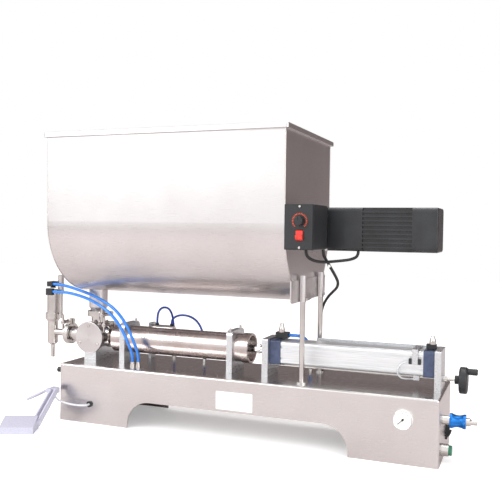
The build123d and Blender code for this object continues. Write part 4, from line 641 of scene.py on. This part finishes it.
def circle(centre, radius, axis="Y", count=48):
    """Points of a circle around an axis."""
    points = []
    for i in range(count):
        a = 2 * math.pi * i / count
        u, v = radius * math.cos(a), radius * math.sin(a)
        x, y, z = centre
        points.append((x + u, y, z + v) if axis == "Y" else (x, y + u, z + v))
    return points


def add_tick(bm, centre, angle, inner, outer, width, thick):
    """A radial mark on a face that looks along -Y; the angle is clockwise from straight up."""
    middle = (inner + outer) / 2
    x, y, z = centre
    where = Matrix.Translation(((x + middle * math.sin(angle)) * MM, y * MM,
                                (z + middle * math.cos(angle)) * MM))
    size = Matrix.Diagonal((width * MM, thick * MM, (outer - inner) * MM, 1))
    bmesh.ops.create_cube(bm, size=1, matrix=where @ Matrix.Rotation(angle, 4, "Y") @ size)


# %% Gauge ring and scale
gauge_low, _ = box_mm("gauge_case")
GAUGE_X, GAUGE_Z = 422.5, 102.3
DIAL_DEPTH = 6.9
BEZEL_RADIUS, BEZEL_WIRE = 20.6, 1.5
GAUGE = (GAUGE_X, gauge_low[1] + DIAL_DEPTH, GAUGE_Z)
SWEEP = math.radians(270)


def build_scale(bm):
    for i in range(31):
        long_mark = i % 5 == 0
        angle = -SWEEP / 2 + SWEEP * i / 30
        add_tick(bm, GAUGE, angle, 12.6 if long_mark else 14.4, 16.4, 0.7 if long_mark else 0.35, 0.3)


place(mesh_piece("gauge_scale", build_scale), ink.material)
bezel_line = circle((GAUGE_X, gauge_low[1] + 0.9, GAUGE_Z), BEZEL_RADIUS)
place(rod_along("gauge_bezel", bezel_line, BEZEL_WIRE, True), chromed.material)

# %% Speed scale and panel screws
panel_low, panel_high = box_mm("controller_housing")
PANEL_Y = panel_low[1] - 0.5
KNOB_X, KNOB_Z = 198.5, 543.0


def build_speed_scale(bm):
    for i in range(23):
        angle = -SWEEP / 2 + SWEEP * i / 22
        add_tick(bm, (KNOB_X, PANEL_Y - 0.15, KNOB_Z), angle, 14.6, 18.0, 1.3, 0.3)


place(mesh_piece("speed_scale", build_speed_scale), orange_ink.material)
for index, z in enumerate((panel_low[2] + 6.0, panel_high[2] - 5.5)):
    place(lathe_piece("panel_screw_%d" % index, [(0, 2.4), (0.9, 2.2), (1.3, 1.2)],
                      (KNOB_X, PANEL_Y + 0.4, z), (0, -1, 0), 20, 0.0002), polished.material)

# %% Screws in the valve cover
cover_low, _ = box_mm("valve_cover")
VALVE_X, VALVE_Z = -455.0, 217.0
COVER_SCREW_CIRCLE = 33.0
for index, turn in enumerate((0, 120, 240)):
    a = math.radians(turn)
    centre = (VALVE_X + COVER_SCREW_CIRCLE * math.sin(a), cover_low[1],
              VALVE_Z + COVER_SCREW_CIRCLE * math.cos(a))
    profile = [(-1, 3.4), (1.6, 3.4), (2.1, 2.8), (2.1, 1.6), (1.0, 1.6)]
    place(lathe_piece("cover_screw_%d" % index, profile, centre, (0, -1, 0), 24, 0.0002),
          polished.material)

# %% Weld beads on the hopper ends
hopper_low, hopper_high = box_mm("hopper_end_plates")
HOPPER_RADIUS, HOPPER_CENTRE_Z, WELD_TOP_Z = 190, 537, 745
BEAD_RADIUS = 1.3


def trough_line(x, radius):
    """The trough's section: a half round below and straight walls above."""
    points = [(x, -radius, WELD_TOP_Z)]
    for i in range(33):
        a = math.pi * i / 32
        points.append((x, -radius * math.cos(a), HOPPER_CENTRE_Z - radius * math.sin(a)))
    return points + [(x, radius, WELD_TOP_Z)]


for name, x in (("left", hopper_low[0] + 0.6), ("right", hopper_high[0] - 0.6)):
    place(rod_along("hopper_weld_" + name, trough_line(x, HOPPER_RADIUS), BEAD_RADIUS), polished.material)

# %% Plain label lines
label_low, label_high = box_mm("label_plate")


def build_label(bm):
    y = label_low[1]
    for row in range(5):
        z = label_high[2] - 9 - row * 7
        add_box(bm, (label_low[0] + 8, y - 0.15, z - 0.3), (label_high[0] - 8, y + 0.1, z + 0.3))


place(mesh_piece("label_rules", build_label), grey_pvc.material)

# %% Cable tie
def build_tie(bm):
    add_lathe(bm, [(-2, 4.5), (2, 4.5)], (232, -62, 438), (0.25, 0.5, -0.83), 24)
    add_box(bm, (231, -70, 436), (236, -65, 441))


place(mesh_piece("cable_tie", build_tie), enamel.material)
print("small pieces placed")

# %% [markdown]
# ## Edges that catch the light
# A milled block never has a perfectly sharp edge. A narrow bevel on the boxy CAD parts gives each
# edge its thin highlight. The mesh itself stays as it is: the modifier works on top of it.

# %% Bevels on boxy parts
EDGE_WIDTHS = {"cylinder_supports": 0.8, "bracket_caps": 0.8, "air_cylinder_brackets": 0.8,
               "sensor_carriage": 0.4, "controller_housing": 0.8, "pedal_base": 1.6, "pedal_tread": 0.8,
               "magnet_sensors": 0.6, "black_fittings": 1.0, "fasteners": 0.4, "panel_grommets": 0.4,
               "handwheel": 0.6, "power_rocker": 0.8, "red_rocker": 0.5, "saddle_plate": 0.5}
for name, width in EDGE_WIDTHS.items():
    weld = nodes[name].modifiers.new("join tessellation", "WELD")
    weld.merge_threshold = 0.005 * MM
    soft_edges(nodes[name], width * MM, 2, 40)
print(len(EDGE_WIDTHS), "parts have soft edges")
